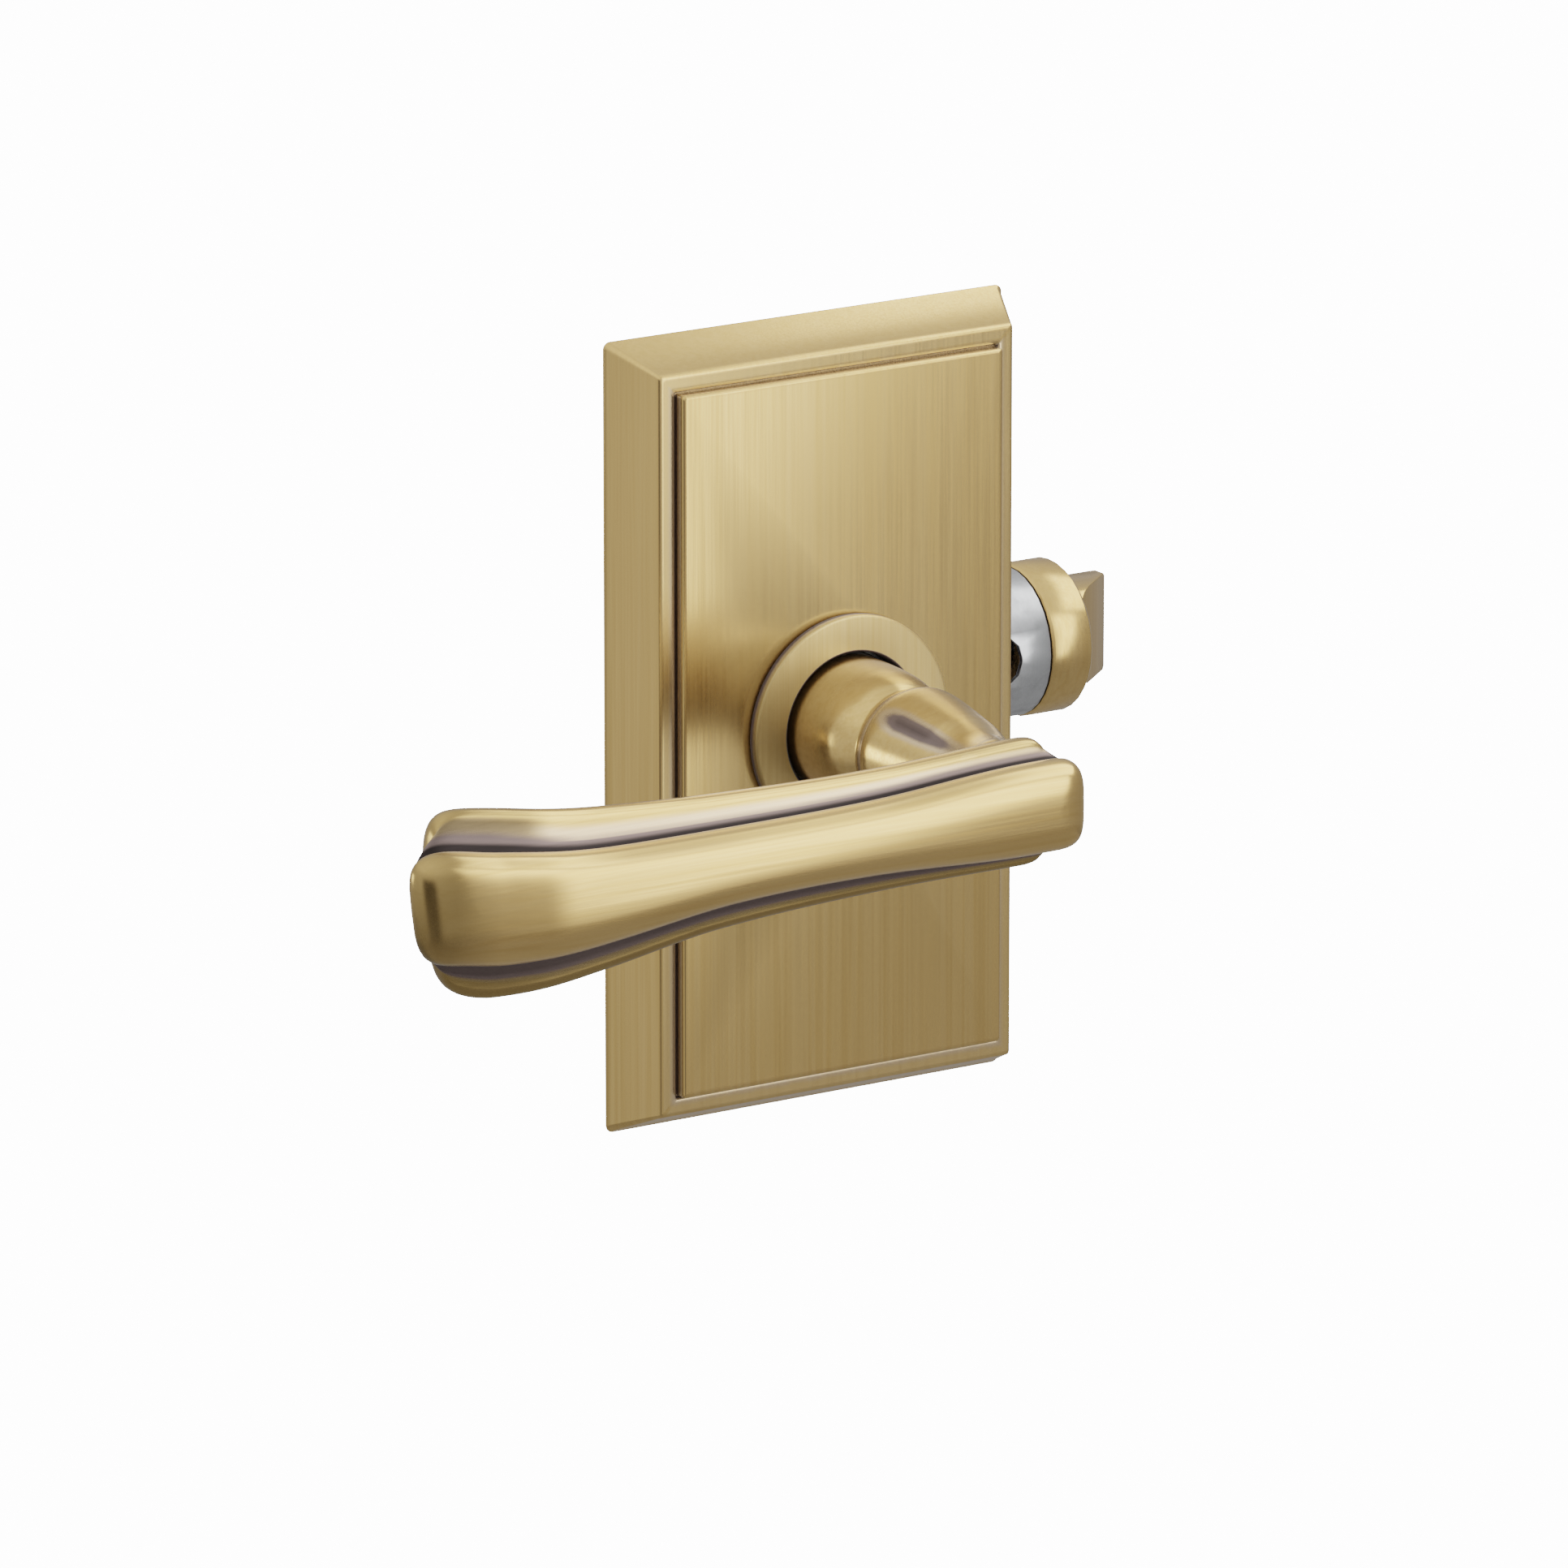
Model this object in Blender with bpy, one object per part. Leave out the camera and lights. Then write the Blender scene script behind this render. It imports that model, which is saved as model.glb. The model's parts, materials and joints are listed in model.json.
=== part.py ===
"""Lever handle lockset: rectangular rose, lever, spring cassette and tubular drive-in latch.

Frame: the origin is the middle of the spindle's inner end. +X points to the door's edge and the latch
bolt, -Y to the user who holds the lever, +Z up.

Shapes are laid out in millimetres from the point where the spindle's axis crosses the door's outer face.
"Depth" is the distance in front of that face, which is -Y. They become metres, and move to the frame's
origin, where a mesh is made.
"""

import math

import bmesh
import bpy
from mathutils import Vector

MM = 0.001
WELD = 1e-7
GAP = 0.3
ROUND = 32
SHARP_ANGLE = math.radians(32)
RIGHT_ANGLE = math.radians(90)
FAR = 5.0

# Door that the lockset fits: 35 mm thick, 54 mm cross bore, 25.4 mm edge bore, 60 mm backset.
DOOR = 35.0
BACKSET = 60.0
EDGE_BORE = 25.4
THROW = 12.0
LEVER_TURN = 45.0
SPINDLE_PAST_DOOR = 9.0
SPINDLE_END = DOOR + SPINDLE_PAST_DOOR
FRAME_ORIGIN = Vector((0.0, SPINDLE_END, 0.0))

# Rose.
ROSE_WIDTH = 75.5
ROSE_HEIGHT = 130.0
ROSE_DEPTH = 12.35
ROSE_LIP_DEPTH = 10.3
ROSE_LIP_INSET = 4.33
ROSE_PANEL_INSET = 7.39
ROSE_GROOVE_DEPTH = 9.55
ROSE_WALL = 2.0
ROSE_CORNER = 1.2
ROSE_CORNER_TAPER = 0.15
ROSE_CORNER_LEAST = 0.5
ROSE_HOLE = 13.75
ROSE_SCREW_X = 23.0
ROSE_SCREW_Z = 43.0
BOSS_RADIUS = 3.5
BOSS_START = 2.9
BOSS_HOLE = 1.6
BOSS_HOLE_END = 9.6
ROSE_SCREW_HEAD = 2.6
ROSE_SCREW_SHAFT = 1.3
ROSE_SCREW_END = 9.1
RECESS_HALF_LENGTH = 1.6
RECESS_HALF_WIDTH = 0.35

# Collar.
COLLAR_RADIUS = 18.6
COLLAR_BORE = 12.3
COLLAR_SLEEVE = 13.4
COLLAR_SLEEVE_END = 10.2
COLLAR_FRONT = 14.75

# Lever.
SHANK_RADIUS = 11.1
SHANK_START = 11.8
JOURNAL_RADIUS = 8.6
JOURNAL_END = -4.6
JOURNAL_FLAT = 7.6
RING_GROOVE_FRONT = -2.05
RING_GROOVE_BACK = -3.55
RING_GROOVE_RADIUS = JOURNAL_RADIUS - 1.1
SPINDLE_HALF = 3.97
SPINDLE_NEAR = 24.5
SPINDLE_CHAMFER = 0.8
SOCKET_HALF = SPINDLE_HALF + GAP
SOCKET_DEPTH = 26.0
GRIP_RIGHT = 7.0
GRIP_LEFT = -113.6
GRIP_BACK_DEPTH = 58.2
GRIP_SHOULDER_DEPTH = 63.6
GRIP_STEP_DEPTH = 67.0
GRIP_FRONT_DEPTH = 72.8
LAYER_STEP_RIGHT = 3.6
LAYER_STEP_LEFT = 5.0
GRIP_LEFT_CAP = 9.0
GRIP_RIGHT_CAP = 6.5
GRIP_LEAN_REACH = 20.0
GRIP_BEND_START = -88.0
GRIP_BEND_CURVE = 5.0
GRIP_BEND_SLOPE = 0.075
GRIP_EDGE = 1.2
COVE_START = GRIP_SHOULDER_DEPTH + 1.9
COVE_SHARE = 0.12
COVE_SHRINK = 0.955
NECK_START = 46.0
SET_SCREW_DEPTH = 20.0
SET_SCREW_RADIUS = 2.5
SET_SCREW_HEAD = -11.2
DRIVER_RADIUS = 15.6
DRIVER_HALF = 0.9
WASHER_RADIUS = 12.2
WASHER_FRONT = -1.25
WASHER_BACK = -1.85
RING_RADIUS = 10.8
RING_FRONT = -2.2
RING_BACK = -3.3

# Mounting plate, posts and screws.
PLATE_HALF_WIDTH = 30.0
PLATE_HALF_HEIGHT = 53.0
PLATE_THICKNESS = 2.0
PLATE_CORNER = 4.0
POST_HEIGHT = 23.2
POST_RADIUS = 2.8
POST_HEAD = 4.2
POST_BORE = 1.9
POST_BORE_END = -4.0
POST_END = 30.0

# Spring cassette.
CAGE_OUTER = 17.3
CAGE_INNER = 16.3
CAGE_FRONT = 9.8
CAGE_REAR = -5.0
CAGE_WALL = 1.2
CAGE_OPENING = 10.6
CAGE_EAR_X = 22.5
CAGE_EAR_HALF = 7.0
CAGE_EAR_THICKNESS = 1.2
EAR_SCREW_SHAFT = 1.3
EAR_SCREW_HEAD = 2.8
COVER_INNER = 11.6
COVER_LIP = 14.2
BUSHING_RADIUS = 10.3
BUSHING_FLANGE = 11.9
BUSHING_BACK = 5.2
BUSHING_FRONT = 11.4
COIL_RADIUS = 13.2
COIL_WIRE = 0.8
COIL_TURNS = 2.75
COIL_PITCH = 1.9
COIL_START = 2.3
COIL_STEPS = 16

# Latch. Its centre line runs along X in the middle of the door.
LATCH_Y = DOOR / 2
CASE_HALF = 7.6
CASE_WALL = 1.1
CASE_REAR = -18.0
CASE_FRONT = 18.4
CASE_TOP = 19.4
CASE_BOTTOM = -15.5
TUBE_RADIUS = 12.4
TUBE_BORE = 11.5
FACE_START = 52.0
HUB_RADIUS = 7.5
HUB_JOURNAL = 7.0
ARM_LENGTH = THROW / math.sin(math.radians(LEVER_TURN))
ARM_HALF = 2.5
SLIDE_HALF = 5.5
RAIL_LOW = HUB_RADIUS + 0.35
RAIL_HIGH = 9.4
FORK_REAR = -5.7
FORK_FRONT = 9.9
FORK_TOP = 17.9
SLIDE_REAR = -10.5
SLIDE_REAR_WALL = 2.4
NOSE_REAR = 34.3
NOSE_FRONT = 36.5
RIVET_RADIUS = 1.45
RIVET_HOLE = 1.8
RIVET_HEAD = 2.4
RIVET_DOME = 0.9
WINDOW_MIDDLE = 36.0
WINDOW_HALF_LENGTH = 10.0
WINDOW_HALF_HEIGHT = 4.5
FACE_WALL = 1.8
TAIL_RADIUS = 2.2
TAIL_HEAD = 4.6
TAIL_END = 61.8
BOLT_REAR = 49.2
BOLT_HALF_Y = 7.0
BOLT_HALF_Z = 8.2
BOLT_EDGE = 0.5
BOLT_CORNER = 3.0
BOLT_CLEARANCE = 0.35
SLANT_START = 0.6
SLANT_FLAT = 2.9
POCKET_RADIUS = 5.2
POCKET_END = 58.0
BOLT_SPRING_RADIUS = 4.25
BOLT_SPRING_WIRE = 0.45
BOLT_SPRING_TURNS = 6.5
BOLT_SPRING_STEPS = 12

FINISHES = {
    "antique_brass": ((0.60, 0.46, 0.22), 0.32, 1.0),
    "zinc_steel": ((0.62, 0.63, 0.64), 0.38, 1.0),
    "dark_steel": ((0.18, 0.18, 0.19), 0.42, 1.0),
    "spring_steel": ((0.45, 0.45, 0.47), 0.30, 1.0),
    "white_nylon": ((0.80, 0.80, 0.76), 0.50, 0.0),
    "bright_steel": ((0.72, 0.72, 0.72), 0.25, 1.0),
}


# ---------------------------------------------------------------- scene helpers


def clear_scene():
    for obj in list(bpy.data.objects):
        bpy.data.objects.remove(obj, do_unlink=True)


def material(piece, finish):
    """A metal or plastic of the piece's own."""
    color, roughness, metallic = FINISHES[finish]
    mat = bpy.data.materials.new(f"{piece}_{finish}")
    mat.use_nodes = True
    shader = mat.node_tree.nodes["Principled BSDF"]
    shader.inputs["Base Color"].default_value = (*color, 1.0)
    shader.inputs["Roughness"].default_value = roughness
    shader.inputs["Metallic"].default_value = metallic
    return mat


def empty(name, location):
    """Marks a joint's axis at a place laid out in millimetres. A moving group's pieces are its children."""
    obj = bpy.data.objects.new(name, None)
    obj.location = (Vector(location) - FRAME_ORIGIN) * MM
    bpy.context.collection.objects.link(obj)
    return obj


def finish_object(name, bm, finish, group):
    """Turns a bmesh laid out in millimetres into an object placed under its group's empty."""
    bmesh.ops.remove_doubles(bm, verts=bm.verts, dist=WELD / MM)
    loose = [edge for edge in bm.edges if not edge.link_faces]
    bmesh.ops.delete(bm, geom=loose, context="EDGES")
    bmesh.ops.recalc_face_normals(bm, faces=bm.faces)
    bmesh.ops.translate(bm, vec=-FRAME_ORIGIN, verts=bm.verts)
    bmesh.ops.scale(bm, vec=(MM, MM, MM), verts=bm.verts)
    bmesh.ops.translate(bm, vec=-group.location, verts=bm.verts)
    mesh = bpy.data.meshes.new(name)
    bm.to_mesh(mesh)
    bm.free()
    mesh.shade_smooth()
    mesh.set_sharp_from_angle(angle=SHARP_ANGLE)
    obj = bpy.data.objects.new(name, mesh)
    bpy.context.collection.objects.link(obj)
    obj.parent = group
    if finish:
        mesh.materials.append(material(name, finish))
    return obj


def boolean(target, tool, operation):
    """Joins a tool to the target or cuts it away. The tool itself is hidden."""
    tool.hide_render = True
    tool.display_type = "WIRE"
    mod = target.modifiers.new(tool.name, "BOOLEAN")
    mod.operation = operation
    mod.solver = "EXACT"
    mod.object = tool
    return target


def cut(target, *tools):
    for tool in tools:
        boolean(target, tool, "DIFFERENCE")
    return target


def join(target, *tools):
    for tool in tools:
        boolean(target, tool, "UNION")
    return target


# ---------------------------------------------------------------- shape helpers


def skin(name, rings, finish, group):
    """Closed solid through a stack of rings with equal point counts. A collapsed end ring becomes a ridge."""
    bm = bmesh.new()
    loops = [[bm.verts.new(point) for point in ring] for ring in rings]
    count = len(loops[0])
    for low, high in zip(loops, loops[1:]):
        for i in range(count):
            j = (i + 1) % count
            bm.faces.new((low[i], low[j], high[j], high[i]))
    for loop in (loops[0], loops[-1]):
        if enclosed_area(loop) > WELD / MM:
            bm.faces.new(loop)
    return finish_object(name, bm, finish, group)


def enclosed_area(loop):
    """Area inside a ring, which is zero for one that has collapsed to a line or a point."""
    centre = sum((v.co for v in loop), Vector()) / len(loop)
    spokes = [v.co - centre for v in loop]
    total = sum((a.cross(b) for a, b in zip(spokes, spokes[1:] + spokes[:1])), Vector())
    return total.length / 2


def along_x(centre):
    """Maps a ring's (u, v, height) so that u is Y, v is Z and the height runs along X."""
    return lambda u, v, h: (centre[0] + h, centre[1] + u, centre[2] + v)


def along_y(centre=(0.0, 0.0, 0.0)):
    """Maps a ring's (u, v, height) so that u is X, v is Z and the height is the depth, which is -Y."""
    return lambda u, v, h: (centre[0] + u, centre[1] - h, centre[2] + v)


def along_z(centre):
    """Maps a ring's (u, v, height) so that u is X, v is Y and the height runs along Z."""
    return lambda u, v, h: (centre[0] + u, centre[1] + v, centre[2] + h)


def turned(name, profile, place, finish, group, segments=ROUND):
    """Solid of revolution from a closed outline of (radius, height) points."""
    bm = bmesh.new()
    verts = [bm.verts.new(place(radius, 0.0, height)) for radius, height in profile]
    edges = [bm.edges.new(pair) for pair in zip(verts, verts[1:] + verts[:1])]
    origin = Vector(place(0.0, 0.0, 0.0))
    axis = (Vector(place(0.0, 0.0, 1.0)) - origin).normalized()
    bmesh.ops.spin(
        bm, geom=verts + edges, cent=origin, axis=axis, angle=math.tau, steps=segments, use_merge=True
    )
    return finish_object(name, bm, finish, group)


def rod(name, radius, start, end, place, finish, group, segments=ROUND):
    """Plain round bar."""
    outline = ((0, start), (radius, start), (radius, end), (0, end))
    return turned(name, outline, place, finish, group, segments)


def tube(name, outer, inner, start, end, place, finish, group, segments=ROUND):
    """Plain round ring or sleeve."""
    outline = ((inner, start), (outer, start), (outer, end), (inner, end))
    return turned(name, outline, place, finish, group, segments)


def rounded_rectangle(half_u, half_v, radius, steps=3):
    """Points of a rectangle with round corners, anticlockwise."""
    points = []
    for corner, (side_u, side_v) in enumerate(((1, 1), (-1, 1), (-1, -1), (1, -1))):
        for step in range(steps + 1):
            angle = RIGHT_ANGLE * (corner + step / steps)
            u = side_u * (half_u - radius) + radius * math.cos(angle)
            v = side_v * (half_v - radius) + radius * math.sin(angle)
            points.append((u, v))
    return points


def slab(name, half_u, half_v, radius, start, end, place, finish, group, steps=3):
    """Block with round corners seen along its height."""
    outline = rounded_rectangle(half_u, half_v, radius, steps)
    rings = [[place(u, v, height) for u, v in outline] for height in (start, end)]
    return skin(name, rings, finish, group)


def box(name, low, high, finish, group):
    """Block between two corners."""
    (x0, y0, z0), (x1, y1, z1) = low, high
    rings = [[(x, y0, z0), (x, y1, z0), (x, y1, z1), (x, y0, z1)] for x in (x0, x1)]
    return skin(name, rings, finish, group)


def wire(name, path, radius, finish, group, sides=6):
    """Round wire bent along a path of points."""
    points = [Vector(p) for p in path]
    rings = []
    side = None
    for i, point in enumerate(points):
        before = points[max(i - 1, 0)]
        after = points[min(i + 1, len(points) - 1)]
        tangent = (after - before).normalized()
        if side is None:
            side = tangent.orthogonal()
        side = (side - tangent * side.dot(tangent)).normalized()
        up = tangent.cross(side)
        ring = []
        for k in range(sides):
            angle = math.tau * k / sides
            ring.append(point + radius * (math.cos(angle) * side + math.sin(angle) * up))
        rings.append(ring)
    return skin(name, rings, finish, group)


def smooth_between(stations, at):
    """Smooth curve through a few (position, value) stations in rising order, level beyond the ends."""
    if at <= stations[0][0]:
        return stations[0][1]
    if at >= stations[-1][0]:
        return stations[-1][1]
    last = len(stations) - 1
    slopes = []
    for i in range(len(stations)):
        low, high = stations[max(i - 1, 0)], stations[min(i + 1, last)]
        slopes.append(0.0 if i in (0, last) else (high[1] - low[1]) / (high[0] - low[0]))
    for i, ((x0, v0), (x1, v1)) in enumerate(zip(stations, stations[1:])):
        if at <= x1:
            span = x1 - x0
            t = (at - x0) / span
            start = (1 + 2 * t) * (1 - t) ** 2 * v0 + t * (1 - t) ** 2 * span * slopes[i]
            end = t * t * (3 - 2 * t) * v1 + t * t * (t - 1) * span * slopes[i + 1]
            return start + end
    return stations[-1][1]


# ---------------------------------------------------------------- rose and collar


def rose_ring(inset, depth):
    """Outline of the rose at a distance in from its edge."""
    radius = max(ROSE_CORNER - ROSE_CORNER_TAPER * inset, ROSE_CORNER_LEAST)
    outline = rounded_rectangle(ROSE_WIDTH / 2 - inset, ROSE_HEIGHT / 2 - inset, radius)
    return [along_y()(u, v, depth) for u, v in outline]


def rose_plate(group):
    """Shell with sloped sides, a dished lip and a raised panel, open at the back."""
    slope = ROSE_LIP_INSET / ROSE_LIP_DEPTH
    back_round = 0.35
    foot = 0.8
    outside = [
        (back_round, 0.0),
        (0.0, back_round),
        (slope * foot, foot + 0.1),
        (ROSE_LIP_INSET - 0.25, ROSE_LIP_DEPTH - 0.55),
        (ROSE_LIP_INSET, ROSE_LIP_DEPTH - 0.15),
        (ROSE_LIP_INSET + 0.5, ROSE_LIP_DEPTH),
        (ROSE_LIP_INSET + 1.4, ROSE_LIP_DEPTH - 0.3),
        (ROSE_PANEL_INSET - 0.5, ROSE_GROOVE_DEPTH + 0.05),
        (ROSE_PANEL_INSET, ROSE_GROOVE_DEPTH),
        (ROSE_PANEL_INSET, ROSE_DEPTH - 0.6),
        (ROSE_PANEL_INSET + 0.2, ROSE_DEPTH - 0.18),
        (ROSE_PANEL_INSET + 0.65, ROSE_DEPTH),
    ]
    inner_depth = ROSE_GROOVE_DEPTH - ROSE_WALL + 0.4
    inner_panel = ROSE_PANEL_INSET + ROSE_WALL
    inside = [
        (ROSE_WALL, -GAP),
        (ROSE_WALL, 0.2),
        (ROSE_WALL + slope * inner_depth, inner_depth),
        (inner_panel, inner_depth),
        (inner_panel, ROSE_DEPTH - ROSE_WALL),
    ]
    shell = skin("rose_plate", [rose_ring(*point) for point in outside], "antique_brass", group)
    cavity = skin("rose_cavity", [rose_ring(*point) for point in inside], None, group)
    hole = rod("rose_hole", ROSE_HOLE, ROSE_DEPTH - FAR, ROSE_DEPTH + FAR, along_y(), None, group)
    cut(shell, cavity, hole)
    for index, (x, z) in enumerate(screw_places()):
        place = along_y((x, 0.0, z))
        boss_end = ROSE_DEPTH - ROSE_WALL + 0.6
        join(shell, rod(f"rose_boss_{index}", BOSS_RADIUS, BOSS_START, boss_end, place, None, group, 20))
        cut(shell, rod(f"rose_boss_hole_{index}", BOSS_HOLE, 1.0, BOSS_HOLE_END, place, None, group, 16))
    return shell


def screw_places():
    """Centres of the four rose screws, seen from the front."""
    return [(sx * ROSE_SCREW_X, sz * ROSE_SCREW_Z) for sz in (1, -1) for sx in (-1, 1)]


def rose_screws(group):
    """Countersunk screws that come through the mounting plate from behind."""
    head_back = 0.15
    profile = (
        (0, head_back),
        (ROSE_SCREW_HEAD, head_back),
        (ROSE_SCREW_HEAD, head_back + 0.2),
        (ROSE_SCREW_SHAFT, head_back + 1.45),
        (ROSE_SCREW_SHAFT, ROSE_SCREW_END - 0.5),
        (ROSE_SCREW_SHAFT - 0.4, ROSE_SCREW_END),
        (0, ROSE_SCREW_END),
    )
    for index, (x, z) in enumerate(screw_places(), 1):
        place = along_y((x, 0.0, z))
        screw = turned(f"rose_screw_{index}", profile, place, "zinc_steel", group, 14)
        for turn in (0, 90):
            cut(screw, drive_slot(f"rose_screw_{index}_slot_{turn}", x, z, turn, group))


def drive_slot(name, x, z, turn, group):
    """One arm of a cross recess in a screw head that faces the door."""
    half_x, half_z = RECESS_HALF_LENGTH, RECESS_HALF_WIDTH
    if turn:
        half_x, half_z = half_z, half_x
    return box(name, (x - half_x, -1.0, z - half_z), (x + half_x, 1.0, z + half_z), None, group)


def rose_collar(group):
    """Collar with a soft outer edge, and a sleeve through the rose."""
    back = ROSE_DEPTH + GAP
    profile = (
        (COLLAR_BORE, COLLAR_SLEEVE_END),
        (COLLAR_SLEEVE, COLLAR_SLEEVE_END),
        (COLLAR_SLEEVE, back),
        (COLLAR_RADIUS - 0.3, back),
        (COLLAR_RADIUS, back + 0.35),
        (COLLAR_RADIUS, COLLAR_FRONT - 0.7),
        (COLLAR_RADIUS - 0.25, COLLAR_FRONT - 0.2),
        (COLLAR_RADIUS - 0.8, COLLAR_FRONT),
        (COLLAR_BORE + 0.5, COLLAR_FRONT),
        (COLLAR_BORE, COLLAR_FRONT - 0.4),
    )
    return turned("rose_collar", profile, along_y(), "antique_brass", group, 40)


# ---------------------------------------------------------------- lever


def back_half_height(x):
    """Half height of the grip's back layer."""
    stations = ((-109.0, 14.6), (-98.5, 15.1), (-77.5, 12.9), (-57.5, 10.8), (-28.0, 9.8), (2.0, 10.3))
    return smooth_between(stations, x)


def front_half_height(x):
    """Half height of the grip's front layer, where it leaves the step."""
    stations = ((-113.0, 8.9), (-98.5, 8.8), (-77.5, 7.4), (-57.5, 6.3), (-32.0, 6.1), (-1.5, 7.2))
    return smooth_between(stations, x)


def grip_centre(x):
    """Height of the grip's middle line."""
    stations = ((-110.0, -1.2), (-98.5, -2.6), (-83.5, -3.3), (-57.5, -2.1), (-28.0, -1.5), (2.0, -0.9))
    return smooth_between(stations, x)


def grip_bend(x):
    """How far the grip's tip leans back to the door: straight, after a short curve."""
    past = max(GRIP_BEND_START - x, 0.0)
    if past < GRIP_BEND_CURVE:
        return -GRIP_BEND_SLOPE * past * past / (2 * GRIP_BEND_CURVE)
    return -GRIP_BEND_SLOPE * (past - GRIP_BEND_CURVE / 2)


def grip_ring(depth, front, shrink, side_steps, cap_steps):
    """One contour of the grip. front is 0 at the back layer and 1 at the front one. shrink 0 is a ridge."""
    lean = 0.06 + 0.06 * front
    boxiness = 0.45 + 0.05 * front
    left = GRIP_LEFT + LAYER_STEP_LEFT * (1 - front)
    right = GRIP_RIGHT - LAYER_STEP_RIGHT * (1 - front)
    inner_left = left + GRIP_LEFT_CAP
    inner_right = right - GRIP_RIGHT_CAP
    sides = (
        (1, inner_right, inner_left, -GRIP_LEFT_CAP),
        (-1, inner_left, inner_right, GRIP_RIGHT_CAP),
    )
    points = []

    def add(x, across):
        half = back_half_height(x) * (1 - front) + front_half_height(x) * front
        height = half * across * shrink
        tip = max(0.0, (inner_left + GRIP_LEAN_REACH - x) / (GRIP_LEAN_REACH + GRIP_LEFT_CAP))
        points.append((x - lean * tip * height, -(depth + grip_bend(x)), grip_centre(x) + height))

    for side, start, end, cap in sides:
        for step in range(side_steps):
            add(start + (end - start) * step / side_steps, side)
        for step in range(2 * cap_steps):
            angle = RIGHT_ANGLE * step / cap_steps
            along = math.sin(angle) ** boxiness
            across = math.copysign(abs(math.cos(angle)) ** boxiness, math.cos(angle))
            if step == cap_steps:
                across = 0.0
            add(end + cap * along * shrink, side * across)
    return points


def grip_profile(arc_steps):
    """Stack of (depth, front, shrink) contours from the back ridge over the step to the front ridge."""
    stack = []
    round_back = GRIP_SHOULDER_DEPTH - GRIP_BACK_DEPTH
    for step in range(arc_steps + 1):
        angle = RIGHT_ANGLE * step / arc_steps
        stack.append((GRIP_SHOULDER_DEPTH - round_back * math.cos(angle), 0.0, math.sin(angle) ** 0.85))
    stack.append((GRIP_SHOULDER_DEPTH + GRIP_EDGE, 0.02, 0.985))
    stack.append((COVE_START, COVE_SHARE, COVE_SHRINK))
    cove_steps = 3
    for step in range(1, cove_steps + 1):
        share = step / cove_steps
        depth = COVE_START + (GRIP_STEP_DEPTH - COVE_START) * share**2.2
        stack.append((depth, COVE_SHARE + (1.0 - COVE_SHARE) * share, COVE_SHRINK + 0.01 * share))
    stack.append((GRIP_STEP_DEPTH + 0.25, 1.0, 1.0))
    wall_end = GRIP_STEP_DEPTH + 1.0
    for step in range(arc_steps):
        angle = RIGHT_ANGLE * step / arc_steps
        depth = wall_end + (GRIP_FRONT_DEPTH - wall_end) * math.sin(angle) ** 0.9
        stack.append((depth, 1.0, 1.03 * math.cos(angle) ** 0.62))
    stack.append((GRIP_FRONT_DEPTH, 1.0, 0.0))
    return stack


def lever_grip(name, group, side_steps, cap_steps, arc_steps):
    """Stepped grip: a tall back layer, a cove, and a narrower front layer that runs past it at both ends."""
    rings = [grip_ring(*contour, side_steps, cap_steps) for contour in grip_profile(arc_steps)]
    return skin(name, rings, None, group)


def shank_profile():
    """Outline of the turned shank: journal, swelling shank, waist and the round shoulder of the neck."""
    return [
        (0.0, JOURNAL_END),
        (JOURNAL_RADIUS - 0.4, JOURNAL_END),
        (JOURNAL_RADIUS, JOURNAL_END + 0.4),
        (JOURNAL_RADIUS, RING_GROOVE_BACK),
        (RING_GROOVE_RADIUS, RING_GROOVE_BACK),
        (RING_GROOVE_RADIUS, RING_GROOVE_FRONT),
        (JOURNAL_RADIUS, RING_GROOVE_FRONT),
        (JOURNAL_RADIUS, SHANK_START),
        (SHANK_RADIUS - 0.3, SHANK_START),
        (SHANK_RADIUS, SHANK_START + 0.3),
        (SHANK_RADIUS + 0.15, 16.0),
        (SHANK_RADIUS + 0.25, 20.0),
        (SHANK_RADIUS + 0.05, 24.0),
        (10.6, 26.6),
        (9.9, 28.3),
        (9.2, 29.6),
    ]


def neck_ring(depth, count):
    """Section of the neck: round at its shoulder, then taller than wide, and leaning to the grip's side."""
    shoulder = ((29.6, 9.2), (31.2, 9.7), (32.6, 10.45), (34.4, 10.7), (39.4, 10.0), (NECK_START, 8.8))
    widths = shoulder + ((50.3, 7.8), (53.6, 7.2), (57.0, 6.8), (60.0, 6.6), (64.5, 5.6))
    heights = shoulder + ((50.3, 8.2), (53.6, 8.1), (57.0, 8.7), (60.0, 9.3), (64.5, 8.0))
    shifts = ((NECK_START, 0.0), (50.3, -0.3), (53.6, -0.9), (57.0, -2.0), (60.0, -3.0), (64.5, -3.4))
    half_width = smooth_between(widths, depth)
    half_height = smooth_between(heights, depth)
    centre_x = smooth_between(shifts, depth)
    drop_length = 14.0
    centre_z = grip_centre(0.0) * min(1.0, max(0.0, (depth - NECK_START) / drop_length))
    points = []
    for step in range(count):
        angle = math.tau * step / count
        x = centre_x + half_width * math.cos(angle)
        z = centre_z + half_height * math.sin(angle)
        points.append((x, -depth, z))
    return points


def lever_neck(name, group, count, finish):
    """Shank and neck as one closed solid about the spindle's axis."""
    rings = []
    for radius, depth in shank_profile():
        ring = []
        for step in range(count):
            angle = math.tau * step / count
            ring.append((radius * math.cos(angle), -depth, radius * math.sin(angle)))
        rings.append(ring)
    for depth in (31.0, 32.4, 33.6, 34.8, 37.0, 39.6, 43.0, 46.5, 50.0, 53.0, 56.0, 59.0, 62.0, 64.5):
        rings.append(neck_ring(depth, count))
    return skin(name, rings, finish, group)


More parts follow.
